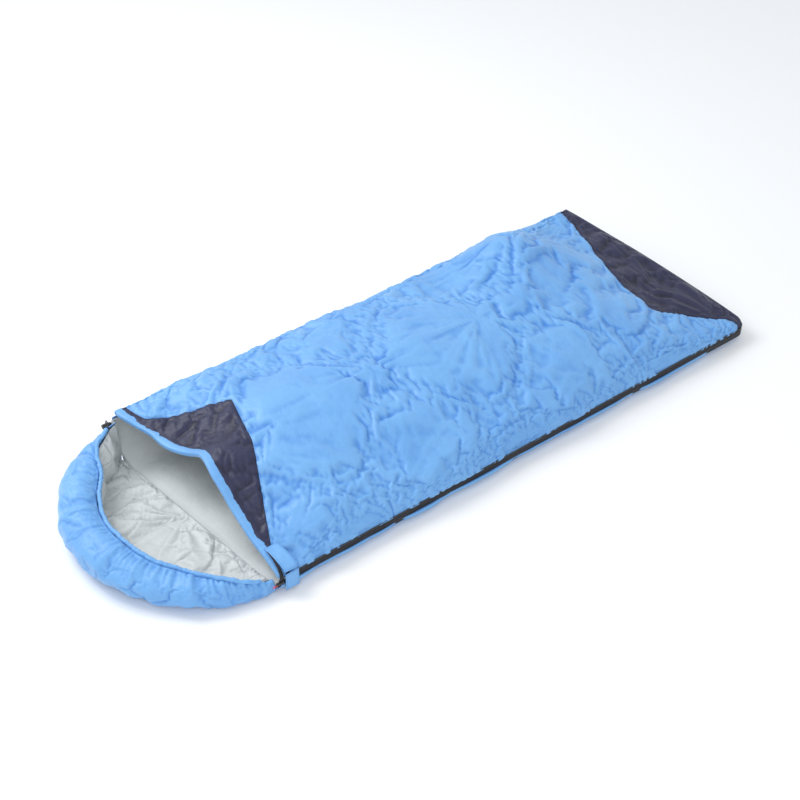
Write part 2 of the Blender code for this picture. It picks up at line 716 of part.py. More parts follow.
def pull(name, place):
    """A pull: a flat tag with an eye round the slider's pin and a hole at its far end."""
    body = cylinder(name, 0.0019, -0.0027, 0.0027, "Z", SLIDER_METAL, (0, PULL_AXIS_Y, 0), 20)
    half = 0.5 * PULL_THICK
    tag = box(
        name + "_tag", (-PULL_LENGTH, PULL_AXIS_Y - half, -0.5 * PULL_WIDTH + 0.0005),
        (-0.0012, PULL_AXIS_Y + half, 0.5 * PULL_WIDTH - 0.0005), SLIDER_METAL, 0.0004, helpers,
    )
    bore = cylinder(
        name + "_bore", 0.0012, -0.006, 0.006, "Z", SLIDER_METAL, (0, PULL_AXIS_Y, 0), 16, helpers
    )
    hole = cylinder(
        name + "_hole", 0.0017, -0.006, 0.006, "Y", SLIDER_METAL,
        (-PULL_LENGTH + 0.0034, PULL_AXIS_Y, 0), 16, helpers,
    )
    joined(joined(joined(body, tag, "UNION"), bore, "DIFFERENCE"), hole, "DIFFERENCE")
    for obj in (body, tag, bore, hole):
        obj.matrix_world = place
    return body


head_place = Matrix.Translation((HEAD_SLIDER_X, ZIP_Y, ZIP_Z))
foot_line = Vector((FOOT_FAR_X - FOOT_NEAR_X, FOLD_Y - ZIP_Y, FOLD_Z - ZIP_Z)).normalized()
foot_out = foot_line.cross(Vector((0, 0, 1))).normalized()
foot_up = foot_out.cross(foot_line)
foot_spot = Vector((foot_x(across(FOOT_SLIDER_Y)), FOOT_SLIDER_Y, plane_z(FOOT_SLIDER_Y)))
foot_turn = Matrix((foot_line, -foot_out, foot_up)).transposed()
foot_place = Matrix.Translation(foot_spot) @ foot_turn.to_4x4()
slider("head_slider_body", head_place)
pull("head_pull_tab", head_place)
slider("foot_slider_body", foot_place)
pull("foot_pull_tab", foot_place)

# Red moulded loop through the head pull's hole
LOOP_LENGTH, LOOP_HALF, LOOP_WIRE = 0.014, 0.0019, 0.0009
loop_start = HEAD_SLIDER_X - PULL_LENGTH + 0.0034
loop_points = []
for k in range(28):
    angle = 2 * math.pi * k / 28
    middle_x = loop_start - 0.5 * LOOP_LENGTH + 0.0002
    side = min(max(math.cos(angle) / 0.2, -1.0), 1.0)
    end = (0.5 * LOOP_LENGTH - LOOP_HALF) * side
    loop_points.append(Vector((
        middle_x + end + LOOP_HALF * math.cos(angle),
        ZIP_Y + PULL_AXIS_Y - 0.0001 + LOOP_HALF * math.sin(angle),
        ZIP_Z,
    )))
tube("head_pull_grip", loop_points, LOOP_WIRE, RED, 2, cyclic=True)

# Stop and box that end the chain
STOP_HALF = 0.0019
box(
    "lower_head_stop", (LOWER_ZIP_START_X - 0.0036, ZIP_Y - STOP_HALF, ZIP_Z - 0.0046),
    (LOWER_ZIP_START_X - 0.0004, ZIP_Y + STOP_HALF, ZIP_Z - 0.0010), SLIDER_METAL, 0.0004,
)
box_y = LOWER_ZIP_END_Y + 0.0075
zip_box = box("zip_box", (-0.0065, -0.0024, -0.0060), (0.0065, 0.0024, 0.0010), BLACK_PLASTIC, 0.0008)
zip_box_spot = Vector((foot_x(across(box_y)), box_y, plane_z(box_y)))
zip_box.matrix_world = Matrix.Translation(zip_box_spot) @ foot_turn.to_4x4()


# Tab over the zip's head end
TAB_ROOT = 0.27


def tab_base_point(a, b):
    """From the quilt's near shoulder out to the tab's fold."""
    x = lerp(TAB_X0, TAB_X1, a)
    edge = Vector((x, TAB_INNER_Y - 0.0015, TAB_TOP_Z + 0.0042))
    after = next(k for k in range(1, TOTAL_COLUMNS) if top_column_x(k, TAB_ROOT) > x)
    before_x = top_column_x(after - 1, TAB_ROOT)
    share = (x - before_x) / (top_column_x(after, TAB_ROOT) - before_x)
    inner = top_point((after - 1 + share) / TOTAL_COLUMNS, TAB_ROOT)
    inner += Vector((0, 0, 0.0040))
    middle = Vector((x, -0.3540, max(inner.z, edge.z) - 0.001))
    return inner.lerp(middle, b / 0.5) if b < 0.5 else middle.lerp(edge, (b - 0.5) / 0.5)


def top_column_x(column, b):
    return top_point(column / TOTAL_COLUMNS, b).x


sheet("tab_base", lambda a, b: tab_base_point(1.0 - a, b), 3, 6, 0.0016, BLUE)
box(
    "tab_strap", (TAB_X0, TAB_INNER_Y - TAB_THICK, TAB_TIP_Z), (TAB_X1, TAB_INNER_Y, TAB_TOP_Z), BLUE, 0.0005
)
box(
    "tab_hook_patch", (TAB_X0 + 0.006, TAB_INNER_Y + 0.0003, TAB_TIP_Z + 0.002),
    (TAB_X1 - 0.006, TAB_INNER_Y + 0.0015, TAB_TIP_Z + 0.0135), HOOK, 0.0003,
)


def loop_patch_point(a, b):
    """On the outside of the bottom quilt's near edge, under the tab."""
    return tray_out(lerp(0.0170, 0.0320, a), lerp(0.945, 0.980, b))


sheet("tab_loop_patch", loop_patch_point, 3, 4, SHELL, HOOK, None, (-SHELL - LAYER_GAP,))


# Cord lock: a barrel across the cord, a plunger with a slot for the cord, and its spring
BARREL_LOW, BARREL_HIGH = -0.0125, 0.0095
CHAMBER_RADIUS = LOCK_RADIUS - LOCK_WALL
PLUNGER_RADIUS = CHAMBER_RADIUS - 0.0003
PLUNGER_LOW, PLUNGER_HIGH = -0.0042, 0.0155
SPRING_LOW, SPRING_HIGH = -0.0106, -0.0046
lock_place = Matrix.Translation((CORD_X, CORD_Y, LOCK_Z))

barrel = cylinder("lock_barrel", LOCK_RADIUS, BARREL_LOW, BARREL_HIGH, "X", BLACK_PLASTIC)
chamber = cylinder(
    "barrel_chamber", CHAMBER_RADIUS, BARREL_LOW + 0.0015, BARREL_HIGH + 0.005, "X", BLACK_PLASTIC,
    collection=helpers,
)
cord_hole = cylinder(
    "barrel_cord_hole", CORD_HOLE_RADIUS, -0.02, 0.02, "Z", BLACK_PLASTIC, sides=16, collection=helpers
)
joined(joined(barrel, chamber, "DIFFERENCE"), cord_hole, "DIFFERENCE")

plunger = cylinder("lock_plunger", PLUNGER_RADIUS, PLUNGER_LOW, PLUNGER_HIGH, "X", BLACK_PLASTIC)
slot = box(
    "plunger_slot", (-0.0022, -0.0023, -0.02), (0.0024 + PLUNGER_TRAVEL, 0.0023, 0.02), BLACK_PLASTIC,
    0.0, helpers,
)
joined(plunger, slot, "DIFFERENCE")

SPRING_TURNS, SPRING_RADIUS, SPRING_WIRE = 4, 0.0040, 0.00035
spring_points = []
for k in range(SPRING_TURNS * 12 + 1):
    angle = 2 * math.pi * k / 12
    reach = lerp(SPRING_LOW, SPRING_HIGH, k / (SPRING_TURNS * 12))
    spring_points.append(Vector((
        CORD_X + reach, CORD_Y + SPRING_RADIUS * math.cos(angle), LOCK_Z + SPRING_RADIUS * math.sin(angle)
    )))
tube("lock_spring", spring_points, SPRING_WIRE, STEEL, 1)
for obj in (barrel, chamber, cord_hole, plunger, slot):
    obj.matrix_world = lock_place
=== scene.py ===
"""Looks of a rectangular sleeping bag with a hood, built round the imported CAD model.

Each cloth is a fine grid that starts on the CAD surface and takes folds, puckers and ripples from noise.
The top quilt, the hood's shell and the hood's lining also swell and buckle in a short cloth simulation, held
along their seams. Metres, in the CAD frame: +X from the hood to the foot, +Y from the zip to the fold.
"""

import math

import bmesh
import bpy
import numpy as np
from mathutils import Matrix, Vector, kdtree


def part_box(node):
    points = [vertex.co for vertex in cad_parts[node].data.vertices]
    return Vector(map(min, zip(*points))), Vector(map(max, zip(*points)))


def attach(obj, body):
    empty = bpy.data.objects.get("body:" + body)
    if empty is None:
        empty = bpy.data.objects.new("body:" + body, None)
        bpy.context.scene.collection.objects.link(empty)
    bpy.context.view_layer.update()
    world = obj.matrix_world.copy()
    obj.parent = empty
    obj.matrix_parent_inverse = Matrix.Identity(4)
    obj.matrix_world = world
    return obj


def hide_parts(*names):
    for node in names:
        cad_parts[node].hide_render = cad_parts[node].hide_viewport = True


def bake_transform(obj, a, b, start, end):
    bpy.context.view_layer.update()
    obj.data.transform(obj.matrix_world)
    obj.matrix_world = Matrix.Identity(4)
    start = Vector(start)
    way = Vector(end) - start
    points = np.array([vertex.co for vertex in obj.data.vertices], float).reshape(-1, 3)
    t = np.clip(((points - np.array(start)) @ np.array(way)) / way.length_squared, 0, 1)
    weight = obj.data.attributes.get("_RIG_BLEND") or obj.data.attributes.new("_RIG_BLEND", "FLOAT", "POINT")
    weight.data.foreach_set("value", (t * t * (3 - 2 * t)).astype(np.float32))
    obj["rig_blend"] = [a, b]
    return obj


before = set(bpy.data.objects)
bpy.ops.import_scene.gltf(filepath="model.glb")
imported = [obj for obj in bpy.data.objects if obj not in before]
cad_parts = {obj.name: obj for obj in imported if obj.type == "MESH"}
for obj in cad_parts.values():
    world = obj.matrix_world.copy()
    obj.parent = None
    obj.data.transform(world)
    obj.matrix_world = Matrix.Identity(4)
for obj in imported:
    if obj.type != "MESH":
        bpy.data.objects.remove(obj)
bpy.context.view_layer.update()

# Dimensions of the CAD model
ZIP_Y, ZIP_Z = -0.366, 0.036
FOLD_Y, FOLD_Z = 0.366, 0.167
FOOT_NEAR_X, FOOT_FAR_X = 1.107, 0.990
SEAM_NEAR_X, SEAM_FAR_X = -0.738, -0.787
WALL_BULGE_Y = 0.3793
CROWN = 0.104
LOFT = 0.018
FILL_DEPTH = 0.0020
FOLD_LIFT, ZIP_LIFT = 0.0050, 0.0100
EDGE_INSET, FOOT_INSET = 0.0014, 0.0030
EDGE_RISE, EDGE_RISE_WIDTH = 0.0080, 0.045
SEAM_GAP = 0.0022
CORNER_RADIUS = 0.035
BINDING_WIDTH, BINDING_OVERLAP = 0.022, 0.008
YOKE_LINE = ((0.0, -0.716), (0.10, -0.700), (0.46, -0.571), (0.715, -0.516), (0.925, -0.765), (1.0, -0.790))
YOKE_LEAST_WIDTH = 0.012
FOOT_PANEL_WIDTH = (
    (0.0, 0.015), (0.06, 0.050), (0.23, 0.235), (0.46, 0.210), (0.66, 0.140), (0.88, 0.055), (1.0, 0.025)
)
NECK_LINE = ((0.0, -0.728), (0.40, -0.724), (0.56, -0.706), (0.78, -0.738), (1.0, -0.778))
HOOD_LENGTH = 0.3370
HOOD_HALF_WIDTH = 0.3615
HOOD_BASE_HALF_WIDTH = 0.326
HOOD_BASE_HEIGHT = 0.0210
HOOD_TOP = ((0.0, 0.044), (0.16, 0.080), (0.5, 0.122), (0.82, 0.142), (1.0, 0.152))
ROLL_HALF_THICK = ((0.0, 0.0100), (0.28, 0.050), (0.5, 0.055), (0.80, 0.052), (0.92, 0.030), (1.0, 0.0100))
CHANNEL_RADIUS, CHANNEL_GAP = 0.0055, 0.0022
CHANNEL_START, CHANNEL_END = 0.030, 0.965
CHANNEL_TURN, CHANNEL_NEAR_DROP, CHANNEL_FAR_DROP = 97.0, 28.0, 50.0
CORD_RADIUS = 0.0014
CORD_X, CORD_Y = -0.8080, 0.3700
CORD_TOP_Z, CORD_END_Z = 0.1600, 0.0560
LOCK_Z = 0.1380
TAPE_LOW, TAPE_HIGH = 0.0036, 0.0150
COIL_REACH, COIL_LOW = 0.0032, 0.0006
LOWER_ZIP_START_X, UPPER_ZIP_START_X = -0.738, -0.705
LOWER_ZIP_END_Y, UPPER_ZIP_END_Y = 0.325, 0.288
TAB_X0, TAB_X1 = -0.7185, -0.6765
TAB_TOP_Z, TAB_TIP_Z = 0.068, 0.013

# Shares of the bottom quilt's outside, from the zip over the floor and up the folded side
NEAR_ROUND, FLAT_END, WALL_START = 0.13, 0.60, 0.93
FLOOR_NEAR_Y, FLOOR_FAR_Y = -0.325, 0.265
WALL_TURN_Z = 0.115
TRAY_ACROSS = 1.05

# Quilting: each line's middle and reach across the quilt, and its phase
QUILT_LINES = ((0.16, 0.050, 0.0), (0.38, 0.070, 0.5), (0.62, 0.070, 0.0), (0.85, 0.045, 0.5))
QUILT_PERIOD = 0.56
SHEET_ACROSS = 0.90

# Tension folds of the top quilt: centre, number round it, reach and height
TENSION = (
    ((0.62, 0.25), 17, 0.18, 0.0062), ((1.03, -0.34), 19, 0.24, 0.0058), ((0.98, 0.33), 17, 0.18, 0.0050),
    ((-0.70, 0.0), 18, 0.22, 0.0048), ((0.15, -0.38), 15, 0.22, 0.0048), ((-0.35, -0.38), 15, 0.20, 0.0045),
    ((0.05, 0.40), 13, 0.18, 0.0040), ((0.62, -0.38), 15, 0.22, 0.0048), ((-0.40, 0.36), 13, 0.20, 0.0038),
    ((0.28, 0.02), 15, 0.15, 0.0040), ((-0.12, 0.02), 15, 0.15, 0.0036),
)

# Cloth and fine parts
CLOTH_THICKNESS = 0.0008
THREAD_PITCH = 0.0014
TOOTH_PITCH = 0.0024
TOP_COLUMNS, TOP_ROWS = 236, 112
HOOD_COLUMNS, HOOD_BASE_ROWS, HOOD_ROLL_ROWS = 190, 8, 48
HOOD_BASE_SHARE = HOOD_BASE_ROWS / (HOOD_BASE_ROWS + HOOD_ROLL_ROWS)
HOOD_SECTION = 0.22

# Camera
CAMERA_PLACE = (-2.193, -2.686, 2.77)
CAMERA_AIM = (0.4938, 0.6141, -0.6157)
CAMERA_LENS = 66.15


# ---------------------------------------------------------------- numbers and noise
def smooth(t):
    t = np.clip(t, 0.0, 1.0)
    return t * t * (3.0 - 2.0 * t)


def lerp(a, b, t):
    return a + (b - a) * t


def bell(t, width):
    return np.exp(-0.5 * (t / width) ** 2)


def xyz(x, y, z):
    return np.stack(np.broadcast_arrays(x, y, z), axis=-1)


def unit(vectors):
    return vectors / np.linalg.norm(vectors, axis=-1, keepdims=True)


def between(points, t):
    """A smooth-stepped curve through (t, value) points."""
    t = np.asarray(t, float)
    found = np.full(t.shape, points[-1][1])
    for (t0, a), (t1, b) in reversed(list(zip(points, points[1:]))):
        found = np.where(t <= t1, lerp(a, b, smooth((t - t0) / (t1 - t0))), found)
    return found


def straight_between(points, t):
    """Straight runs through (t, value) points."""
    return np.interp(t, [place for place, _ in points], [value for _, value in points])


def lattice(ix, iy, seed):
    """A repeatable random number from 0 to 1 for each pair of whole numbers."""
    mixed = (ix * 374761393 + iy * 668265263 + seed * 974711) & 0xFFFFFFFF
    mixed = ((mixed ^ (mixed >> 13)) * 1274126177) & 0xFFFFFFFF
    return ((mixed ^ (mixed >> 16)) & 0xFFFF) / 65535.0


def noise(x, y, seed):
    """Smooth value noise from -1 to 1 with a spacing of 1."""
    ix, iy = np.floor(x).astype(np.int64), np.floor(y).astype(np.int64)
    fx, fy = smooth(x - ix), smooth(y - iy)
    low = lerp(lattice(ix, iy, seed), lattice(ix + 1, iy, seed), fx)
    high = lerp(lattice(ix, iy + 1, seed), lattice(ix + 1, iy + 1, seed), fx)
    return 2.0 * lerp(low, high, fy) - 1.0


def facets(x, y, seed):
    """Distance to the nearest and second nearest of scattered points, one in each unit cell."""
    ix, iy = np.floor(x).astype(np.int64), np.floor(y).astype(np.int64)
    first, second = np.full(x.shape, 9.0), np.full(x.shape, 9.0)
    for dx in (-1, 0, 1):
        for dy in (-1, 0, 1):
            px = ix + dx + lattice(ix + dx, iy + dy, seed)
            py = iy + dy + lattice(ix + dx, iy + dy, seed + 77)
            away = np.hypot(px - x, py - y)
            second = np.minimum(second, np.maximum(first, away))
            first = np.minimum(first, away)
    return first, second


def crumple(x, y, size, seed):
    """Height from -1 to about 1 of thin cloth crumpled into flat facets with sharp creases between them."""
    wx = x / size + 0.55 * noise(x / size * 0.7, y / size * 0.7, seed + 5)
    wy = y / size + 0.55 * noise(x / size * 0.7, y / size * 0.7, seed + 9)
    first, second = facets(wx, wy, seed)
    return 1.0 - 1.6 * first - 0.55 * np.exp(-14.0 * (second - first))


# ---------------------------------------------------------------- grids of points
def normals(points):
    normal = np.cross(np.gradient(points, axis=0), np.gradient(points, axis=1))
    return normal / np.maximum(np.linalg.norm(normal, axis=2, keepdims=True), 1e-12)


def pushed(points, height):
    """Points moved along the grid's normals."""
    return points + normals(points) * height[..., None]


def finer(values):
    """The same grid with a place added between each two, on a smooth curve through them."""
    for axis in (0, 1):
        values = np.moveaxis(values, axis, 0)
        ends = [2 * values[:1] - values[1:2], values, 2 * values[-1:] - values[-2:-1]]
        wide = np.concatenate(ends)
        middle = (9 * (wide[1:-2] + wide[2:-1]) - wide[:-3] - wide[3:]) / 16
        made = np.empty((2 * len(values) - 1, *values.shape[1:]))
        made[0::2], made[1::2] = values, middle
        values = np.moveaxis(made, 0, axis)
    return values


def blurred(values, times):
    for _ in range(times):
        for axis in (0, 1):
            values = np.moveaxis(values, axis, 0)
            wide = np.concatenate([values[:1], values, values[-1:]])
            values = np.moveaxis(0.25 * wide[:-2] + 0.5 * wide[1:-1] + 0.25 * wide[2:], 0, axis)
    return values


def axes(columns, rows):
    """Places from 0 to 1 along both sides of a grid."""
    return np.meshgrid(np.linspace(0, 1, columns + 1), np.linspace(0, 1, rows + 1), indexing="ij")


def grid_faces(columns, rows):
    start = np.arange(columns)[:, None] * (rows + 1) + np.arange(rows)[None, :]
    return np.stack([start, start + rows + 1, start + rows + 2, start + 1], axis=-1).reshape(-1, 4)


def add_object(name, data):
    made = bpy.data.objects.new(name, data)
    bpy.context.scene.collection.objects.link(made)
    return made


def smooth_object(name, bm):
    """A smooth-shaded object from a bmesh, which is freed."""
    mesh = bpy.data.meshes.new(name)
    bm.to_mesh(mesh)
    bm.free()
    mesh.shade_smooth()
    return add_object(name, mesh)


def mesh_object(name, points, faces, values=None, uv=None):
    mesh = bpy.data.meshes.new(name)
    mesh.from_pydata(points.reshape(-1, 3).tolist(), [], faces.tolist())
    for key, data in (values or {}).items():
        layer = mesh.attributes.new(key, "FLOAT", "POINT")
        layer.data.foreach_set("value", data.astype(np.float32).ravel())
    if uv is not None:
        layer = mesh.uv_layers.new(name="cloth")
        layer.data.foreach_set("uv", uv.reshape(-1, 2)[faces.ravel()].astype(np.float32).ravel())
    mesh.shade_smooth()
    return add_object(name, mesh)


def grid_object(name, points, values=None):
    """A grid with its lengths along both sides, in metres, as its UV map."""
    columns, rows = points.shape[0] - 1, points.shape[1] - 1
    along = np.linalg.norm(np.diff(points, axis=0), axis=2)
    over = np.linalg.norm(np.diff(points, axis=1), axis=2)
    u = np.concatenate([np.zeros((1, rows + 1)), np.cumsum(along, axis=0)])
    v = np.concatenate([np.zeros((columns + 1, 1)), np.cumsum(over, axis=1)], axis=1)
    return mesh_object(name, points, grid_faces(columns, rows), values, np.stack([u, v], axis=-1))


def settle(points, pinned, pressure, growth, frames):
    """Cloth laid on a grid: it is held where pinned is 1, and swells and buckles elsewhere."""
    obj = grid_object("settling", points)
    group = obj.vertex_groups.new(name="pin")
    group.add(np.nonzero(pinned.ravel() > 0.5)[0].tolist(), 1.0, "REPLACE")
    cloth = obj.modifiers.new("cloth", "CLOTH")
    settings = cloth.settings
    settings.quality = 5
    settings.mass = 0.15
    settings.air_damping = 2.0
    settings.tension_stiffness = 15.0
    settings.compression_stiffness = 15.0
    settings.shear_stiffness = 7.5
    settings.bending_stiffness = 0.5
    settings.vertex_group_mass = "pin"
    settings.use_pressure = True
    settings.uniform_pressure_force = pressure
    settings.shrink_min = -growth
    settings.effector_weights.gravity = 0.0
    cloth.point_cache.frame_start = 1
    cloth.point_cache.frame_end = frames
    for step in range(1, frames + 1):
        bpy.context.scene.frame_set(step)
    settled = obj.evaluated_get(bpy.context.evaluated_depsgraph_get()).to_mesh()
    moved = np.zeros(len(settled.vertices) * 3)
    settled.vertices.foreach_get("co", moved)
    bpy.data.objects.remove(obj, do_unlink=True)
    bpy.context.scene.frame_set(1)
    return moved.reshape(points.shape)


def capped(points, moved, out, back, sideways):
    """Moved points, brought back within a distance from where they started."""
    normal = normals(points)
    move = moved - points
    lift = np.sum(move * normal, axis=2)
    slide = move - normal * lift[..., None]
    length = np.maximum(np.linalg.norm(slide, axis=2), 1e-9)
    slide *= np.minimum(1.0, sideways / length)[..., None]
    return points + slide + normal * np.clip(lift, -back, out)[..., None]


def simulated(begin, held, pressure, growth, caps, frames=14):
    """A grid after its cloth simulation, kept within caps: how far it may go out, back and sideways."""
    return capped(begin, settle(begin, held, pressure, growth, frames), *caps)


def held_around(held):
    """The same places held, and the grid's four edges too."""
    held[[0, -1]] = 1.0
    held[:, [0, -1]] = 1.0
    return held


def split_by(obj, key):
    """Cuts a mesh's faces along the line where a value changes sign."""
    bm = bmesh.new()
    bm.from_mesh(obj.data)
    layer = bm.verts.layers.float[key]
    for edge in [e for e in bm.edges if e.verts[0][layer] * e.verts[1][layer] < 0]:
        first, last = edge.verts
        share = first[layer] / (first[layer] - last[layer])
        bmesh.utils.edge_split(edge, first, share)[1][layer] = 0.0
    touched = dict.fromkeys(f for v in bm.verts if v[layer] == 0.0 for f in v.link_faces)
    for face in touched:
        on_line = [v for v in face.verts if v[layer] == 0.0]
        signs = {v[layer] > 0 for v in face.verts if v[layer] != 0.0}
        if len(on_line) == 2 and len(signs) == 2:
            bmesh.utils.face_split(face, *on_line)
    bm.to_mesh(obj.data)
    bm.free()


def kept_part(obj, name, wanted):
    """A copy of the mesh with the faces for which wanted(value of each layer) holds."""
    bm = bmesh.new()
    bm.from_mesh(obj.data)
    layers = {key: bm.verts.layers.float[key] for key in bm.verts.layers.float.keys()}

    def middle(face):
        return {k: sum(v[layer] for v in face.verts) / len(face.verts) for k, layer in layers.items()}

    bmesh.ops.delete(bm, geom=[f for f in bm.faces if not wanted(middle(f))], context="FACES")
    return smooth_object(name, bm)


def thicken(obj, thickness=CLOTH_THICKNESS):
    layer = obj.modifiers.new("cloth_thickness", "SOLIDIFY")
    layer.thickness = thickness
    layer.offset = -1.0
    layer.use_even_offset = False
    return obj


# ---------------------------------------------------------------- materials
def node(tree, kind, **settings):
    made = tree.nodes.new(kind)
    for key, value in settings.items():
        if key in made.inputs:
            made.inputs[key].default_value = value
        else:
            setattr(made, key, value)
    return made


def principled(name, color, roughness, metallic=0.0):
    made = bpy.data.materials.new(name)
    made.use_nodes = True
    shader = made.node_tree.nodes["Principled BSDF"]
    shader.inputs["Base Color"].default_value = (*color, 1.0)
    shader.inputs["Roughness"].default_value = roughness
    shader.inputs["Metallic"].default_value = metallic
    made.diffuse_color = (*color, 1.0)
    return made, made.node_tree, shader


def object_noise(tree, **settings):
    """A noise texture in the object's own coordinates."""
    made = node(tree, "ShaderNodeTexNoise", **settings)
    tree.links.new(node(tree, "ShaderNodeTexCoord").outputs["Object"], made.inputs["Vector"])
    return made.outputs["Fac"]


def mapped(tree, value, low, high, start=0.0, end=1.0):
    """A value carried over from the range start to end into the range low to high."""
    made = node(tree, "ShaderNodeMapRange")
    for key, limit in (("From Min", start), ("From Max", end), ("To Min", low), ("To Max", high)):
        made.inputs[key].default_value = limit
    tree.links.new(value, made.inputs["Value"])
    return made.outputs["Result"]


def combined(tree, operation, first, second, clamp=False):
    made = node(tree, "ShaderNodeMath", operation=operation, use_clamp=clamp)
    tree.links.new(first, made.inputs[0])
    tree.links.new(second, made.inputs[1])
    return made.outputs[0]


def tint(tree, shader, share, first, second):
    """Colours a shader from the first colour to the second as share rises."""
    made = node(tree, "ShaderNodeMix", data_type="RGBA")
    made.inputs["A"].default_value = (*first, 1.0)
    made.inputs["B"].default_value = (*second, 1.0)
    tree.links.new(share, made.inputs["Factor"])
    tree.links.new(made.outputs["Result"], shader.inputs["Base Color"])


def bump(tree, height, strength, distance, under=None):
    """The normal of a bump, laid over another bump's normal if one is given."""
    made = node(tree, "ShaderNodeBump", Strength=strength, Distance=distance)
    tree.links.new(height, made.inputs["Height"])
    if under:
        tree.links.new(under, made.inputs["Normal"])
    return made.outputs["Normal"]


def cloth_material(name, color, deep, roughness, sheen, crinkle=0.35, weave=0.00022):
    """Thin woven cloth: fine weave and crinkles in its bump, its deep colour painted as shade in its creases
    with random patches of tone, a soft sheen.
    """
    made, tree, shader = principled(name, color, roughness)
    shader.inputs["Sheen Weight"].default_value = sheen
    shader.inputs["Sheen Roughness"].default_value = 0.45
    shader.inputs["Sheen Tint"].default_value = (*[0.5 + 0.5 * c for c in color], 1.0)
    shader.inputs["Specular IOR Level"].default_value = 0.42
    patches = mapped(tree, object_noise(tree, Scale=7.0, Detail=3.0), 0.0, 0.24, 0.35, 0.65)
    # Painted shade: the cloth turns to its deep colour in its creases, as marked on the mesh, and the noise
    # patches add random tone.
    painted_shade = node(tree, "ShaderNodeAttribute", attribute_name="painted_shade").outputs["Fac"]
    tint(tree, shader, combined(tree, "ADD", painted_shade, patches, clamp=True), color, deep)

    uv = node(tree, "ShaderNodeUVMap", uv_map="cloth").outputs["UV"]
    pitch = 1.0 / THREAD_PITCH
    threads = [node(tree, "ShaderNodeTexWave", bands_direction=way, Scale=pitch) for way in "XY"]
    for wave in threads:
        tree.links.new(uv, wave.inputs["Vector"])
    woven = combined(tree, "MULTIPLY", *[wave.outputs["Fac"] for wave in threads])
    crinkles = object_noise(tree, Scale=70.0, Detail=4.0, Roughness=0.6, Distortion=1.2)
    under = bump(tree, crinkles, crinkle, 0.004)
    tree.links.new(bump(tree, woven, 0.25, weave, under), shader.inputs["Normal"])
    return made


def metal_material(name, color):
    """Enamel, worn to bare metal along its edges."""
    made, tree, shader = principled(name, color, 0.38, 0.85)
    wear = object_noise(tree, Scale=420.0, Detail=4.0)
    edges = mapped(tree, node(tree, "ShaderNodeNewGeometry").outputs["Pointiness"], 0.0, 1.0, 0.52, 0.60)
    tint(tree, shader, combined(tree, "MULTIPLY", edges, wear), color, (0.32, 0.31, 0.30))
    tree.links.new(mapped(tree, wear, 0.30, 0.50), shader.inputs["Roughness"])
    tree.links.new(bump(tree, wear, 0.15, 0.0002), shader.inputs["Normal"])
    return made


def plastic_material(name, color, roughness, grain=0.0002, scale=600.0):
    """A plain surface with specks in its colour, shine and relief."""
    made, tree, shader = principled(name, color, roughness)
    speck = object_noise(tree, Scale=scale, Detail=3.0)
    tint(tree, shader, speck, [0.8 * c for c in color], [min(1.0, 1.25 * c + 0.004) for c in color])
    tree.links.new(mapped(tree, speck, roughness - 0.08, roughness + 0.12), shader.inputs["Roughness"])
    tree.links.new(bump(tree, speck, 0.3, grain), shader.inputs["Normal"])
    return made


# The second colour of each cloth is the painted shade that its creases take.
BLUE = cloth_material("blue_polyester", (0.165, 0.400, 0.740), (0.045, 0.205, 0.590), 0.40, 0.25)
NAVY = cloth_material("navy_polyester", (0.020, 0.023, 0.066), (0.007, 0.008, 0.026), 0.42, 0.12)
GREY = cloth_material("grey_lining", (0.60, 0.63, 0.63), (0.36, 0.40, 0.41), 0.52, 0.15)
TAPE = cloth_material("zip_tape", (0.014, 0.014, 0.018), (0.006, 0.006, 0.008), 0.75, 0.30, 0.05, 0.0005)
COIL = plastic_material("zip_coil", (0.020, 0.020, 0.024), 0.38)
METAL = metal_material("slider_enamel", (0.045, 0.045, 0.050))
RED = plastic_material("red_grip", (0.62, 0.04, 0.04), 0.50)
BLACK = plastic_material("black_plastic", (0.018, 0.018, 0.020), 0.36)
STEEL = plastic_material("spring_wire", (0.55, 0.55, 0.57), 0.30)
BRAID = plastic_material("braided_cord", (0.028, 0.028, 0.034), 0.80, 0.0010, 1500.0)
PILE = plastic_material("hook_and_loop", (0.040, 0.085, 0.270), 0.88, 0.0008, 900.0)


def coated(obj, finish):
    obj.data.materials.clear()
    obj.data.materials.append(finish)
    return obj


def finished(obj, finish):
    coated(obj, finish)
    return obj


# ---------------------------------------------------------------- the bag's surfaces
def across(y):
    """Share of the way from the zip to the fold."""
    return (y - ZIP_Y) / (FOLD_Y - ZIP_Y)


def plane_z(y):
    """Height of the sloping plane on which the quilts part."""
    return lerp(ZIP_Z, FOLD_Z, across(y))


FOOT_SLANT = math.atan2(FOOT_NEAR_X - FOOT_FAR_X, FOLD_Y - ZIP_Y)
CORNER_CUT = CORNER_RADIUS * math.tan(0.25 * math.pi + 0.5 * FOOT_SLANT)
CORNER_X, CORNER_Y = FOOT_NEAR_X - CORNER_CUT, ZIP_Y + CORNER_RADIUS


def foot_x(v):
    """The zip line across the foot, with a rounded corner at the near side."""
    rise = lerp(ZIP_Y, FOLD_Y, v) - CORNER_Y
    rounded = CORNER_X + np.sqrt(np.maximum(CORNER_RADIUS ** 2 - rise ** 2, 0.0))
    return np.where(rise < CORNER_RADIUS * math.sin(FOOT_SLANT), rounded, lerp(FOOT_NEAR_X, FOOT_FAR_X, v))


def seam_x(v):
    return lerp(SEAM_NEAR_X, SEAM_FAR_X, v)


def neck_x(v):
    return between(NECK_LINE, v)


def yoke_x(v):
    return np.maximum(neck_x(v) + BINDING_WIDTH + YOKE_LEAST_WIDTH, straight_between(YOKE_LINE, v))


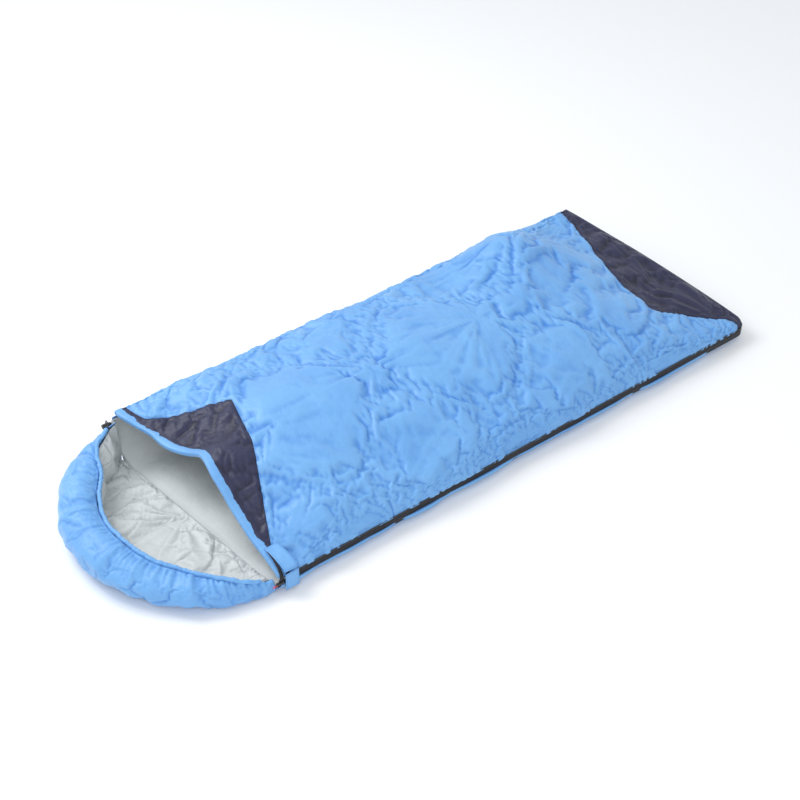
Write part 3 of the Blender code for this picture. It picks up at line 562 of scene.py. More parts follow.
def crown_height(x, y, w):
    """Height of the top quilt's outside over the parting plane."""
    v = across(y)
    along = (x - neck_x(v)) / (foot_x(v) - neck_x(v))
    arch = np.maximum(np.sin(math.pi * w), 0.0)
    head = lerp(lerp(0.030, 0.008, smooth((v - 0.35) / 0.30)), CROWN, smooth(along / 0.14))
    foot = 1.0 - 0.86 * smooth((along - 0.70) / 0.30)
    chest = 0.075 * bell(y + 0.01, np.where(y < -0.01, 0.095, 0.080)) * (1.0 - smooth(along / 0.14))
    feet = 0.085 * bell(x - 0.62, 0.10) * bell(y - 0.24, 0.085)
    rim = EDGE_RISE * np.minimum(1.0, np.minimum(w, 1.0 - w) / EDGE_RISE_WIDTH)
    sag = 1.0 - 0.30 * smooth((y - 0.02) / 0.26)
    return rim + head * foot * sag * arch ** 1.15 + (chest + feet) * np.sqrt(arch)


def zip_lift(along, v):
    near = 1.0 - smooth(v / 0.2)
    foot = smooth((along - 0.90) / 0.09)
    return lerp(FOLD_LIFT, ZIP_LIFT, np.maximum(near, foot))


def top_points(a, b):
    """Outside of the top quilt: a runs head to foot and b from the zip to the fold."""
    w = b - 0.055 * np.sin(2 * math.pi * b)
    v = 0.5 - 0.5 * np.cos(math.pi * w)
    y = lerp(ZIP_Y + EDGE_INSET, FOLD_Y, v)
    v = across(y)
    x = lerp(neck_x(v), foot_x(v) - FOOT_INSET, a)
    return xyz(x, y, plane_z(y) + zip_lift(a, v) + crown_height(x, y, w))


# ---------------------------------------------------------------- quilting
def quilt_distance(x, b):
    """Distance to the nearest quilting line, each a long wave from head to foot."""
    xs = np.arange(-0.80, 1.15, 0.004)
    tree = kdtree.KDTree(len(xs) * len(QUILT_LINES))
    for k, (middle, reach, phase) in enumerate(QUILT_LINES):
        wave = middle * SHEET_ACROSS + reach * np.sin(2 * math.pi * (xs / QUILT_PERIOD + phase))
        for i, (px, py) in enumerate(zip(xs, wave)):
            tree.insert((px, py, 0.0), k * len(xs) + i)
    tree.balance()
    places = zip(x.ravel(), (b * SHEET_ACROSS).ravel())
    return np.array([tree.find((px, py, 0.0))[2] for px, py in places]).reshape(x.shape)


def crease_shade_share(points, base, reach):
    """How deep each place lies in a crease, from 0 to 1: the share of painted shade there."""
    height = np.sum((points - base) * normals(base), axis=2)
    return np.clip((blurred(height, 10) - height) / reach, 0, 1)


# Painted shade for a cloth's colour, darker in its creases.
def painted_shade_values(points, base):
    return {"painted_shade": crease_shade_share(points, base, 0.004)}


def inside(a, width):
    """0 at a = 0 and a = 1, rising to 1 within a width from them."""
    return smooth(a / width) * smooth((1 - a) / width)


def edge_mask(a, b, width_a, width_b):
    """0 on the grid's edges, rising to 1 inside them."""
    return smooth(np.minimum(a, 1 - a) / width_a) * smooth(np.minimum(b, 1 - b) / width_b)


def folds_from(x, y, centre, count, reach, seed):
    """Height of tension folds that spread from a point, strongest at a distance of reach."""
    away = np.hypot(x - centre[0], y - centre[1])
    turn = np.arctan2(y - centre[1], x - centre[0]) / (2 * math.pi) * count
    drift = 0.5 * noise(x / 0.09, y / 0.09, seed + 3)
    ridge = 1.0 - 2.0 * np.abs(noise(turn + drift, away / (2.2 * reach), seed))
    return ridge * bell(away - reach, 0.55 * reach)


def make_top():
    """The top quilt's cloth in one grid, cut along the panels' seams, then its lining and binding."""
    a, b = axes(TOP_COLUMNS, TOP_ROWS)
    base = top_points(a, b)
    loose = smooth((base[..., 0] + 0.62) / 0.15) * (1.0 - smooth(b / 0.035))
    base[..., 2] -= 0.0032 * loose * (0.55 + 0.45 * noise(base[..., 0] / 0.07, b, 21))
    base[..., 1] -= 0.0012 * loose
    x, y = base[..., 0], base[..., 1]
    v = across(y)
    start = neck_x(v)
    yoke = x - yoke_x(v)
    foot = x - (foot_x(v) - FOOT_INSET - straight_between(FOOT_PANEL_WIDTH, v))
    away = quilt_distance(x, b)
    mask = edge_mask(a, b, 0.02, 0.05) * smooth((x - start - BINDING_WIDTH + 0.004) / 0.030)
    seams = np.minimum(np.abs(yoke), np.abs(foot))
    sunk = 0.0022 * bell(away, 0.0080) + 0.0015 * bell(seams, 0.006)
    s, t = x, b * SHEET_ACROSS
    lumps = 0.0040 * noise(s / 0.16, t / 0.13, 3) + 0.0008 * crumple(s, t, 0.060, 11)
    for k, (centre, count, reach, height) in enumerate(TENSION):
        lumps += height * folds_from(x, y, centre, count, reach, 200 + k)
    puckers = 0.0010 * noise(s / 0.013, t / 0.05, 23) * bell(away, 0.018)
    begin = pushed(base, (lumps + puckers - sunk) * mask)
    held = held_around(np.where((away < 0.0045) | (seams < 0.004), 1.0, 0.0))
    moved = simulated(begin, held, 0.25, 0.05, (0.0055 * mask + 0.001, 0.0050 * mask, 0.006 * mask))
    fine_a, fine_b = finer(a), finer(b)
    points, rest = finer(moved), finer(base)
    s, t = finer(x), fine_b * SHEET_ACROSS
    ripple = 0.0005 * crumple(s, t, 0.020, 31)
    ripple += 0.0006 * noise(s / 0.007, t / 0.03, 33) * bell(finer(away), 0.016)
    for k, (centre, count, reach, _) in enumerate(TENSION):
        ripple += 0.0020 * folds_from(s, points[..., 1], centre, 3 * count, 1.1 * reach, 230 + k)
    points = pushed(points, ripple * edge_mask(fine_a, fine_b, 0.01, 0.02))
    values = {"yoke": finer(yoke), "foot": finer(foot), "edge": finer(x - start)}
    whole = grid_object("top_whole", points, values | painted_shade_values(points, rest))
    split_by(whole, "yoke")
    split_by(whole, "foot")
    panels = (
        ("top_main", BLUE, "blue_shell", lambda at: at["yoke"] > 0 > at["foot"]),
        ("top_yoke", NAVY, "navy_panel", lambda at: at["yoke"] < 0 and at["edge"] > BINDING_OVERLAP),
        ("top_foot", NAVY, "navy_panel", lambda at: at["foot"] > 0),
    )
    for panel, finish, slot, wanted in panels:
        piece = thicken(kept_part(whole, panel + "_cloth", wanted))
        finished(piece, finish)
        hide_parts(panel + "_panel")
        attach(piece, "top_quilt")
    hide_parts("top_fill")
    bpy.data.objects.remove(whole, do_unlink=True)
    make_top_lining()
    make_binding()


def edge_share(a, b, head, foot, near, far):
    """Share of the full loft: it thins towards the edges that are named by a share under one."""
    share = lerp(head, 1.0, smooth(a / 0.08))
    share *= lerp(foot, 1.0, smooth((1.0 - a) / 0.14))
    share *= lerp(near, 1.0, smooth(b / 0.16))
    return share * lerp(far, 1.0, smooth((1.0 - b) / 0.28))


def lining_depth(share):
    """Depth of a lining under the quilt's outside, for a share of the full loft."""
    return FILL_DEPTH + LOFT * share + 0.0024


def make_top_lining():
    a, b = axes(200, 90)
    outside = top_points(a, b)
    share = edge_share(a, b, 0.35, 0.2, 0.2, 0.22)
    base = pushed(outside, -lining_depth(share))
    s, t = base[..., 0], b * SHEET_ACROSS
    away = quilt_distance(s, b)
    mask = edge_mask(a, b, 0.03, 0.06) * share ** 2
    push = 0.003 * noise(s / 0.15, t / 0.12, 41) + 0.0012 * crumple(s, t, 0.045, 43)
    push -= 0.0015 * bell(away, 0.009)
    points = pushed(base, -push * mask)
    piece = grid_object("top_lining_cloth", points[:, ::-1], painted_shade_values(points[:, ::-1], base[:, ::-1]))
    finished(thicken(piece), GREY)
    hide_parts("top_lining")
    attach(piece, "top_quilt")


def sleeve(name, rings):
    """A closed tube through rings of points, with flat ends."""
    count, sides = rings.shape[:2]
    start = np.arange(count - 1)[:, None] * sides
    here, after = np.arange(sides)[None, :], (np.arange(sides)[None, :] + 1) % sides
    faces = np.stack([start + here, start + after, start + sides + after, start + sides + here], axis=-1)
    bm = bmesh.new()
    verts = [bm.verts.new(place) for place in rings.reshape(-1, 3)]
    for corners in faces.reshape(-1, 4):
        bm.faces.new([verts[k] for k in corners])
    bm.faces.new(verts[:sides])
    bm.faces.new(verts[-sides:])
    bmesh.ops.recalc_face_normals(bm, faces=bm.faces[:])
    return smooth_object(name, bm)


def lengths(path):
    """Distance along a path at each of its points."""
    return np.concatenate([[0.0], np.cumsum(np.linalg.norm(np.diff(path, axis=0), axis=1))])


def spread_along(path, share):
    """The points that lie at shares of a path's length."""
    far = lengths(path) / lengths(path)[-1]
    return np.stack([np.interp(share, far, line) for line in path.T], axis=-1)


def swept(path, side, up, outline, change):
    """Rings of an outline, given as (across, up) pairs, carried along a path and scaled by change."""
    place = path[:, None, :] + side[:, None, :] * (outline[None, :, 0] * change)[..., None]
    return place + up[:, None, :] * (outline[None, :, 1] * change)[..., None]


def oval(half_width, half_height, sides, power=0.75):
    """A rounded oblong outline as (across, up) pairs."""
    turn = np.linspace(0, 2 * math.pi, sides, endpoint=False)
    c, s = np.cos(turn), np.sin(turn)
    x, y = half_width * np.sign(c) * np.abs(c) ** power, half_height * np.sign(s) * np.abs(s) ** power
    return np.stack([x, y], axis=-1)


def make_binding():
    """The gathered band that wraps the top quilt's head edge."""
    b = np.linspace(0.004, 0.996, 520)
    rows = [top_points(np.full_like(b, share), b) for share in (0.0, 0.006)]
    forward = unit(rows[1] - rows[0])
    up = unit(np.cross(forward, unit(np.gradient(rows[0], axis=0))))
    far = lengths(rows[0])
    ends = inside(b, 0.03)
    middle = rows[0] + forward * 0.0105 - up * lerp(0.0036, 0.0050, ends)[:, None]
    middle += up * (0.0012 * noise(far / 0.05, far * 0, 7))[:, None]
    outline = oval(0.0128, 0.0078, 28, 0.55)
    turn = np.linspace(0, 2 * math.pi, 28, endpoint=False)
    gather = noise(far / 0.0075, far * 0.0, 5)[:, None] * (0.6 + 0.4 * np.cos(turn)[None, :])
    place, angle = far[:, None], turn[None, :]
    gather += 0.5 * noise(place / 0.012 + angle * 0.8, angle * 1.3 + place * 3, 17)
    change = (1.0 + 0.065 * gather) * lerp(0.55, 1.0, ends)[:, None]
    piece = sleeve("neck_binding_cloth", swept(middle, forward, up, outline, change))
    finished(piece, BLUE)
    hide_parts("neck_binding")
    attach(piece, "top_quilt")


make_top()


# ---------------------------------------------------------------- bottom quilt
def tray_section(b):
    """(y, z) of the bottom quilt's outside, from the zip over the floor and up the folded side."""
    near = 0.5 * math.pi * b / NEAR_ROUND
    floor = (b - NEAR_ROUND) / (FLAT_END - NEAR_ROUND)
    wall = 0.5 * math.pi * (b - FLAT_END) / (WALL_START - FLAT_END)
    top = (b - WALL_START) / (1.0 - WALL_START)
    runs = [b < NEAR_ROUND, b < FLAT_END, b < WALL_START, b >= WALL_START]
    y = np.select(runs, [
        FLOOR_NEAR_Y - (FLOOR_NEAR_Y - (ZIP_Y + EDGE_INSET)) * np.cos(near),
        lerp(FLOOR_NEAR_Y, FLOOR_FAR_Y, floor),
        FLOOR_FAR_Y + (WALL_BULGE_Y - FLOOR_FAR_Y) * np.sin(wall),
        lerp(WALL_BULGE_Y, FOLD_Y, top * top),
    ])
    z = np.select(runs, [
        (ZIP_Z - ZIP_LIFT) * (1.0 - np.sin(near)),
        0.0,
        WALL_TURN_Z * (1.0 - np.cos(wall)),
        lerp(WALL_TURN_Z, FOLD_Z - FOLD_LIFT, top),
    ])
    return y, z


def bottom_points(a, b):
    """Outside of the bottom quilt: a runs from the hood's seam to the foot."""
    y, z = tray_section(b)
    lift = smooth((a - 0.88) / 0.12) ** 1.5
    line_y = lerp(ZIP_Y + EDGE_INSET, FOLD_Y, b)
    line_z = plane_z(line_y) - zip_lift(1.0, b)
    y, z = lerp(y, line_y, lift), lerp(z, line_z, lift)
    v = across(y)
    return xyz(lerp(seam_x(v), foot_x(v) - FOOT_INSET, a), y, z)


def on_floor(points):
    """No point of a piece that lies on the floor goes under it."""
    points[..., 2] = np.maximum(points[..., 2], 0.0)
    return points


def make_bottom():
    a, b = axes(220, 150)
    base = bottom_points(a, 1.0 - b)
    clear = smooth((base[..., 2] - 0.002) / 0.02)
    mask = edge_mask(a, b, 0.015, 0.02) * clear
    s, t = base[..., 0], b * TRAY_ACROSS
    push = 0.0035 * noise(s / 0.12, t / 0.06, 51) + 0.0022 * crumple(s, t, 0.040, 53)
    push += 0.0008 * crumple(s, t, 0.016, 59)
    points = on_floor(pushed(base, push * mask))
    near = smooth((-0.340 - base[..., 1]) / 0.020) * smooth(a / 0.02) * smooth((0.95 - a) / 0.06)
    wave = 0.55 + 0.45 * noise(base[..., 0] / 0.055, base[..., 2] / 0.05, 55)
    points[..., 1] -= 0.0115 * near * wave * smooth((0.0295 - base[..., 2]) / 0.008)
    points[..., 2] += 0.0030 * near * wave * smooth((base[..., 2] - 0.004) / 0.010)
    piece = grid_object("bottom_shell_cloth", points, painted_shade_values(points, base))
    finished(thicken(piece), BLUE)
    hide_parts("bottom_shell", "bottom_fill")
    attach(piece, "bag_base")

    a, b = axes(200, 120)
    outside = bottom_points(a, b)
    share = edge_share(a, b, 1.0, 0.2, 0.2, 0.22)
    base = pushed(outside, lining_depth(share))
    s, t = base[..., 0], b * TRAY_ACROSS
    push = 0.004 * noise(s / 0.13, t / 0.11, 61) + 0.0010 * crumple(s, t, 0.075, 63)
    for k, centre in enumerate(((-0.60, -0.20), (-0.10, 0.10), (0.45, -0.15), (0.95, 0.15))):
        push += 0.0032 * folds_from(s, base[..., 1], centre, 21, 0.20, 260 + k)
    mask = edge_mask(a, b, 0.03, 0.05) * share
    points = pushed(base, push * mask)
    points[..., 0] -= 0.004 * (1.0 - smooth(a / 0.02))
    points[..., 2] -= 0.003 * (1.0 - smooth(a / 0.01)) * inside(b, 0.1)
    piece = grid_object("bottom_lining_cloth", points, painted_shade_values(points, base))
    finished(thicken(piece), GREY)
    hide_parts("bottom_lining")
    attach(piece, "bag_base")


make_bottom()


def make_fold():
    """The cloth that runs unbroken from the bottom quilt to the top quilt along the fold."""
    a, b = axes(240, 10)
    x = lerp(seam_x(1.0) + 0.012, foot_x(1.0) - FOOT_INSET - 0.004, a)
    turn = lerp(-0.5 * math.pi, 0.5 * math.pi, b)
    out = 0.0030 + 0.0012 * noise(x / 0.030, b * 0, 141) + 0.0006 * noise(x / 0.008, b * 2, 143)
    y = FOLD_Y - 0.0012 + (out + 0.0030) * np.cos(turn)
    z = FOLD_Z + (FOLD_LIFT + 0.0022) * np.sin(turn)
    # Painted shade at a fifth of the full darkening, all along the fold.
    piece = grid_object("fold_cloth", xyz(x, y, z), {"painted_shade": 0.2 * np.ones_like(a)})
    finished(thicken(piece), BLUE)
    low, high = (0.0, FOLD_Y, FOLD_Z - FOLD_LIFT), (0.0, FOLD_Y, FOLD_Z + FOLD_LIFT)
    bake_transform(piece, "bag_base", "top_quilt", low, high)


make_fold()


# ---------------------------------------------------------------- hood
def rim_point(t, inset, z):
    """A point over the hood's outline, moved in by inset."""
    turn = math.pi * t
    y = -(HOOD_HALF_WIDTH - inset) * np.cos(turn)
    x = seam_x(across(y)) - SEAM_GAP - (HOOD_LENGTH - inset) * np.sin(turn)
    return xyz(x, y, z)


def base_start(t, z):
    """The point on the hood's straight seam that faces a point of the rim."""
    y = -HOOD_BASE_HALF_WIDTH * np.cos(math.pi * t)
    return xyz(seam_x(across(y)), y, z)


def roll_point(t, angle, margin):
    """A point round the padded rim's section: 0 degrees is outwards and 90 up."""
    half = between(ROLL_HALF_THICK, t)
    middle_z = 0.5 * between(HOOD_TOP, t)
    inset = FILL_DEPTH + half - (half + margin) * np.cos(angle)
    height = middle_z - FILL_DEPTH + margin
    return rim_point(t, inset, middle_z + height * np.sin(angle))


def channel_angle(t):
    """Where the drawcord's channel lies round the rim's section, in degrees: over its top at both ends."""
    inside = smooth(np.minimum(t - CHANNEL_START, CHANNEL_END - t) / 0.22)
    return CHANNEL_TURN + inside * lerp(CHANNEL_NEAR_DROP, CHANNEL_FAR_DROP, smooth((t - 0.3) / 0.4))


def mixed(a, b, share):
    return a + (b - a) * share[..., None]


def hood_out(a, b):
    """Hood's outside: from the seam along the floor, then round the rim to its inner top."""
    t = 1.0 - a
    low = np.full_like(t, math.radians(-90))
    over_floor = np.clip(b / HOOD_BASE_SHARE, 0, 1)
    base = mixed(base_start(t, np.zeros_like(t)), roll_point(t, low, FILL_DEPTH), over_floor)
    turn = np.clip((b - HOOD_BASE_SHARE) / (1.0 - HOOD_BASE_SHARE), 0, 1)
    roll = roll_point(t, np.radians(lerp(-90.0, channel_angle(t) - 1.0, turn)), FILL_DEPTH)
    return np.where((b < HOOD_BASE_SHARE)[..., None], base, roll)


def make_hood():
    """The hood's shell, gathered towards its opening, then its lining, channel and the neck's strip."""
    a, b = axes(HOOD_COLUMNS, HOOD_BASE_ROWS + HOOD_ROLL_ROWS)
    base = hood_out(a, b)
    turn = np.clip((b - HOOD_BASE_SHARE) / (1.0 - HOOD_BASE_SHARE), 0, 1)
    round_rim = lengths(hood_out(a[:, -1], np.full(a.shape[0], 0.8)))[:, None] + 0 * b
    t = turn * HOOD_SECTION
    ends = inside(a, 0.04)
    beside_cord = bell(base[..., 0] - CORD_X, 0.022) * smooth((base[..., 1] - 0.32) / 0.02)
    mask = smooth((turn - 0.06) / 0.2) * smooth((1 - turn) / 0.06) * ends * (1.0 - beside_cord)
    gathers = noise(round_rim / 0.011, turn * 1.4, 71) + 0.5 * noise(round_rim / 0.006, turn * 2, 72)
    gathers *= 0.0030 * smooth((turn - 0.45) / 0.5)
    lumps = 0.0055 * noise(round_rim / 0.10, t / 0.10, 73) + 0.0010 * crumple(round_rim, t, 0.060, 75)
    lumps += 0.0030 * noise(round_rim / 0.030, t / 0.16, 76)
    begin = pushed(base, (gathers + lumps) * mask)
    held = held_around(np.where(turn < 0.12, 1.0, 0.0))
    moved = simulated(begin, held, 0.5, 0.05, (0.010 * mask, 0.005 * mask, 0.006 * mask))
    points = on_floor(finer(moved))
    rest = finer(base)
    t = np.clip(finer(turn), 0, 1) * HOOD_SECTION
    ripple = 0.0005 * crumple(finer(round_rim), t, 0.016, 77) * finer(mask)
    points = on_floor(pushed(points, ripple))
    piece = grid_object("hood_shell_cloth", points, painted_shade_values(points, rest))
    finished(thicken(piece), BLUE)
    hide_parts("hood_shell", "hood_rim_fill", "hood_base_fill")
    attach(piece, "bag_base")
    make_hood_lining()
    make_channel()
    make_gusset()


def make_hood_lining():
    a, b = axes(150, 90)
    t = a
    middle_z = 0.5 * between(HOOD_TOP, t)
    drop = np.clip((middle_z - HOOD_BASE_HEIGHT - 0.001) / middle_z, -0.9, 0.9)
    low = math.pi + np.arcsin(drop)
    base_share = 0.6
    start = base_start(t, np.full_like(t, HOOD_BASE_HEIGHT + 0.0015))
    foot = roll_point(t, low, FILL_DEPTH + 0.001)
    foot[..., 2] = HOOD_BASE_HEIGHT + 0.001
    base = mixed(start, foot, np.clip(b / base_share, 0, 1))
    turn = np.clip((b - base_share) / (1.0 - base_share), 0, 1)
    wall = roll_point(t, lerp(low, np.radians(channel_angle(t) + 12.0), turn), FILL_DEPTH + 0.001)
    base = np.where((b < base_share)[..., None], base, wall)
    base = blurred(base, 2)
    s, q = base[..., 0], base[..., 1]
    push = 0.0050 * noise(s / 0.10, q / 0.12, 81) + 0.0022 * crumple(s, q + base[..., 2], 0.095, 83)
    push += 0.0050 * folds_from(s, q, (-0.78, 0.02), 26, 0.16, 89)
    mask = smooth(b / 0.06) * smooth((1 - b) / 0.05) * inside(a, 0.05)
    begin = pushed(base, push * mask)
    held = held_around(np.zeros_like(a))
    moved = simulated(begin, held, 0.15, 0.09, (0.010 * mask, 0.004 * mask, 0.006 * mask), 12)
    points, rest = finer(moved), finer(base)
    fine_s, fine_q = points[..., 0], points[..., 1] + points[..., 2]
    points = pushed(points, 0.0006 * crumple(fine_s, fine_q, 0.022, 87) * finer(mask))
    piece = grid_object("hood_lining_cloth", points, painted_shade_values(points, rest))
    finished(thicken(piece), GREY)
    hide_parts("hood_lining")
    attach(piece, "bag_base")


def make_gusset():
    """The strip of lining that joins the bag's lining to the hood's across the neck."""
    bag_edge = edge_line(bpy.data.objects["bottom_lining_cloth"], 120)
    turn = np.linspace(0.0, 1.0, 121)
    wall = np.linspace(0.0, 1.0, 40)
    sides = []
    for t in (0.0, 1.0):
        low = roll_point(np.array([t]), np.array([math.pi]), FILL_DEPTH + 0.001)[0]
        high = roll_point(np.array([t]), np.array([math.radians(112.0)]), FILL_DEPTH + 0.001)[0]
        foot = np.array([low[0], low[1], HOOD_BASE_HEIGHT + 0.001])
        sides.append(foot + (high - foot) * wall[:, None])
    floor = base_start(turn, np.full_like(turn, HOOD_BASE_HEIGHT + 0.0015)) - np.array([0.004, 0.0, 0.0])
    hood_edge = np.concatenate([sides[0][::-1], floor, sides[1]])
    share = np.linspace(0.0, 1.0, 160)
    first, last = spread_along(bag_edge, share), spread_along(hood_edge, share)
    rows = np.linspace(-0.15, 1.0, 7)[None, :, None]
    points = first[:, None, :] + (last - first)[:, None, :] * rows
    points[..., 2] += 0.0012 * noise(share / 0.03, share * 0, 131)[:, None]
    # Painted shade at a quarter of the full darkening, over the whole strip under the neck.
    piece = grid_object("neck_lining_gusset", points, {"painted_shade": 0.25 * np.ones(points.shape[:2])})
    finished(thicken(piece), GREY)
    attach(piece, "bag_base")


def edge_line(obj, rows):
    """The head edge of a grid piece, from the zip side to the fold side."""
    places = np.array([obj.data.vertices[k].co for k in range(rows + 1)])
    return places if places[0][1] < places[-1][1] else places[::-1]


def channel_middle(t):
    t = np.asarray(t, float)
    return roll_point(t, np.radians(channel_angle(t)), FILL_DEPTH + CHANNEL_GAP + CHANNEL_RADIUS)


def make_channel():
    """The gathered tunnel round the hood's opening."""
    t = np.linspace(CHANNEL_START, CHANNEL_END, 620)
    path = channel_middle(t)
    far = lengths(path)
    along = unit(np.gradient(path, axis=0))
    side = unit(np.cross(along, np.array([0.0, 0.0, 1.0])))
    up = np.cross(side, along)
    wander = 0.0016 * noise(far / 0.018, far * 0, 91)
    path = path + up * (wander - 0.0024)[:, None] + side * (0.0012 * noise(far / 0.023, far * 0, 92))[:, None]
    turn = np.linspace(0, 2 * math.pi, 20, endpoint=False)
    place, angle = far[:, None], turn[None, :]
    change = 1.10 + 0.24 * noise(place / 0.0065 + 0.4 * np.sin(angle), angle * 0.7 + 0 * place, 93)
    ends = smooth((t - CHANNEL_START) / 0.008) * smooth((CHANNEL_END - t) / 0.004)
    outline = oval(CHANNEL_RADIUS, CHANNEL_RADIUS * 1.05, 20, 1.0)
    rings = swept(path, side, up, outline, change * lerp(0.45, 1.0, ends)[:, None])
    piece = sleeve("hood_channel_cloth", rings)
    finished(piece, BLUE)
    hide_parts("hood_channel")
    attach(piece, "bag_base")


make_hood()


# ---------------------------------------------------------------- zip
def zip_line(start_x, end_y, spacing):
    """Evenly spaced points on the zip line, head end first, and the outward direction at each."""
    run = Vector((FOOT_FAR_X - FOOT_NEAR_X, FOLD_Y - ZIP_Y)).normalized()
    arc = CORNER_RADIUS * (0.5 * math.pi + FOOT_SLANT)
    bend = Vector((CORNER_X, CORNER_Y)) + CORNER_RADIUS * Vector((math.cos(FOOT_SLANT), math.sin(FOOT_SLANT)))
    straight = CORNER_X - start_x
    total = straight + arc + (end_y - bend.y) / run.y
    points, outward = [], []
    for far in np.arange(0.5 * spacing, total, spacing):
        if far < straight:
            spot, out = Vector((start_x + far, ZIP_Y)), Vector((0.0, -1.0))
        elif far < straight + arc:
            angle = -0.5 * math.pi + (far - straight) / CORNER_RADIUS
            out = Vector((math.cos(angle), math.sin(angle)))
            spot = Vector((CORNER_X, CORNER_Y)) + out * CORNER_RADIUS
        else:
            spot, out = bend + run * (far - straight - arc), Vector((run.y, -run.x))
        points.append((spot.x, spot.y, plane_z(spot.y)))
        outward.append((out.x, out.y, 0.0))
    return np.array(points), np.array(outward)


def make_tape(name, cad, start_x, end_y, sign, body):
    """Woven tape with a corded edge beside the coil and a row of stitches along its middle."""
    path, out = zip_line(start_x, end_y, 0.0030)
    up = np.zeros_like(path)
    up[:, 2] = sign
    outline = np.array([
        (-0.0005, TAPE_LOW), (0.0004, TAPE_LOW), (0.0009, TAPE_LOW + 0.0006), (0.0009, TAPE_LOW + 0.0016),
        (0.0004, TAPE_LOW + 0.0024), (0.0004, 0.0090), (0.0001, 0.0094), (0.0004, 0.0098),
        (0.0004, 0.0134), (0.0009, 0.0139), (0.0009, 0.0147), (0.0002, TAPE_HIGH), (-0.0005, TAPE_HIGH),
        (-0.0005, 0.0090), (-0.0110, 0.0088), (-0.0110, 0.0080), (-0.0005, 0.0078),
    ])
    rings = path[:, None, :] + out[:, None, :] * outline[None, :, :1] + up[:, None, :] * outline[None, :, 1:]
    wave = 0.0005 * noise(lengths(path) / 0.05, path[:, 0] * 0, 101 if sign > 0 else 103)
    rings = rings + out[:, None, :] * wave[:, None, None]
    piece = finished(sleeve(name, rings), TAPE)
    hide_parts(cad)
    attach(piece, body)


def make_teeth(name, cad, start_x, end_y, sign, body):
    """The coil's turns: small rounded loops that reach between those of the other side."""
    path, out = zip_line(start_x + (0.5 * TOOTH_PITCH if sign < 0 else 0.0), end_y, TOOTH_PITCH)
    along = np.cross(out, np.array([0.0, 0.0, 1.0]))
    half = 0.40 * TOOTH_PITCH
    outline = [(-0.0012, 0.6), (-0.0008, 1.0), (0.0008, 1.0), (0.0012, 0.6)]
    template = []
    for height, width in ((COIL_REACH + 0.0004, 0.75), (0.0016, 0.85), (0.0002, 1.0), (-COIL_LOW, 0.45)):
        for deep, share in outline:
            template.append((half * width * share, deep * width, height))
        for deep, share in reversed(outline):
            template.append((-half * width * share, deep * width, height))
    template = np.array(template)
    ring = 8
    faces = [[0, 1, 2, 3, 4, 5, 6, 7], [ring * 3 + k for k in (7, 6, 5, 4, 3, 2, 1, 0)]]
    for level in range(3):
        for k in range(ring):
            low, high = level * ring + k, level * ring + (k + 1) % ring
            faces.append([low + ring, high + ring, high, low])
    bm = bmesh.new()
    for spot, way, side in zip(path, along, out):
        up = np.array([0.0, 0.0, sign])
        verts = [bm.verts.new(spot + way * p[0] + side * p[1] + up * p[2]) for p in template]
        for face in faces:
            bm.faces.new([verts[k] for k in face])
    bmesh.ops.recalc_face_normals(bm, faces=bm.faces[:])
    piece = finished(smooth_object(name, bm), COIL)
    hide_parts(cad)
    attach(piece, body)


make_tape("upper_tape_woven", "upper_zip_tape", UPPER_ZIP_START_X, UPPER_ZIP_END_Y, 1, "top_quilt")
make_tape("lower_tape_woven", "lower_zip_tape", LOWER_ZIP_START_X, LOWER_ZIP_END_Y, -1, "bag_base")
make_teeth("upper_zip_teeth", "upper_zip_coil", UPPER_ZIP_START_X, UPPER_ZIP_END_Y, 1, "top_quilt")
make_teeth("lower_zip_teeth", "lower_zip_coil", LOWER_ZIP_START_X, LOWER_ZIP_END_Y, -1, "bag_base")

SMALL_PARTS = {
    "head_slider_body": METAL, "head_pull_tab": METAL, "foot_slider_body": METAL, "foot_pull_tab": METAL,
    "lower_head_stop": METAL, "drawcord_eyelet": METAL, "head_pull_grip": RED, "zip_box": BLACK,
    "hood_drawcord": BRAID, "lock_spring": STEEL, "tab_loop_patch": PILE,
}
for name, finish in SMALL_PARTS.items():
    coated(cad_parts[name], finish)


# ---------------------------------------------------------------- tab
def stitched(u, v, inset, pitch):
    """Depth of a stitch line that runs round a patch, inset from its edge; u and v are in metres."""
    line = np.minimum(np.abs(u - inset), np.abs(v - inset))
    return bell(line, 0.0006) * (0.55 + 0.45 * np.cos(2 * math.pi * (u + v) / pitch))


def tab_patch(name, path, thickness, seed):
    """A flat stitched strip of cloth, TAB_X1 - TAB_X0 wide, whose middle follows (y, z) points."""
    a, b = axes(34, 48)
    far = lengths(np.array(path))
    place = b * far[-1]
    y = np.interp(place, far, [q[0] for q in path])
    z = np.interp(place, far, [q[1] for q in path])
    y, z = blurred(y, 1), blurred(z, 1)
    base = xyz(lerp(TAB_X1, TAB_X0, a), y, z)
    width = TAB_X1 - TAB_X0
    u, v = np.minimum(a, 1 - a) * width, np.minimum(b, 1 - b) * far[-1]
    sunk = stitched(u, v, 0.0035, 0.0030)
    push = 0.0008 * noise(base[..., 0] / 0.014, place / 0.016, seed) * smooth(np.minimum(u, v) / 0.006)
    points = pushed(base, push - 0.0007 * sunk)
    # Painted shade in the sunken stitch lines.
    piece = grid_object(name, points, {"painted_shade": sunk})
    return finished(thicken(piece, thickness), BLUE)


def make_tab():
    """The tab's base, sewn to the top quilt, and the strap that hangs over the zip."""
    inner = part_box("tab_base")[1]
    shoulder = [
        (-0.3768, 0.0722), (-0.369, 0.0795), (-0.350, 0.0860), (-0.320, 0.0905), (inner.y, inner.z - 0.003)
    ]
    base_patch = tab_patch("tab_base_cloth", shoulder, 0.0016, 111)
    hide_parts("tab_base")
    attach(base_patch, "top_quilt")
    drop = [(-0.3783, TAB_TIP_Z), (-0.3781, 0.030), (-0.3783, 0.050), (-0.3783, TAB_TOP_Z + 0.0002)]
    strap = tab_patch("tab_strap_cloth", drop, 0.0018, 113)
    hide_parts("tab_strap")
    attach(strap, "tab_flap")


make_tab()


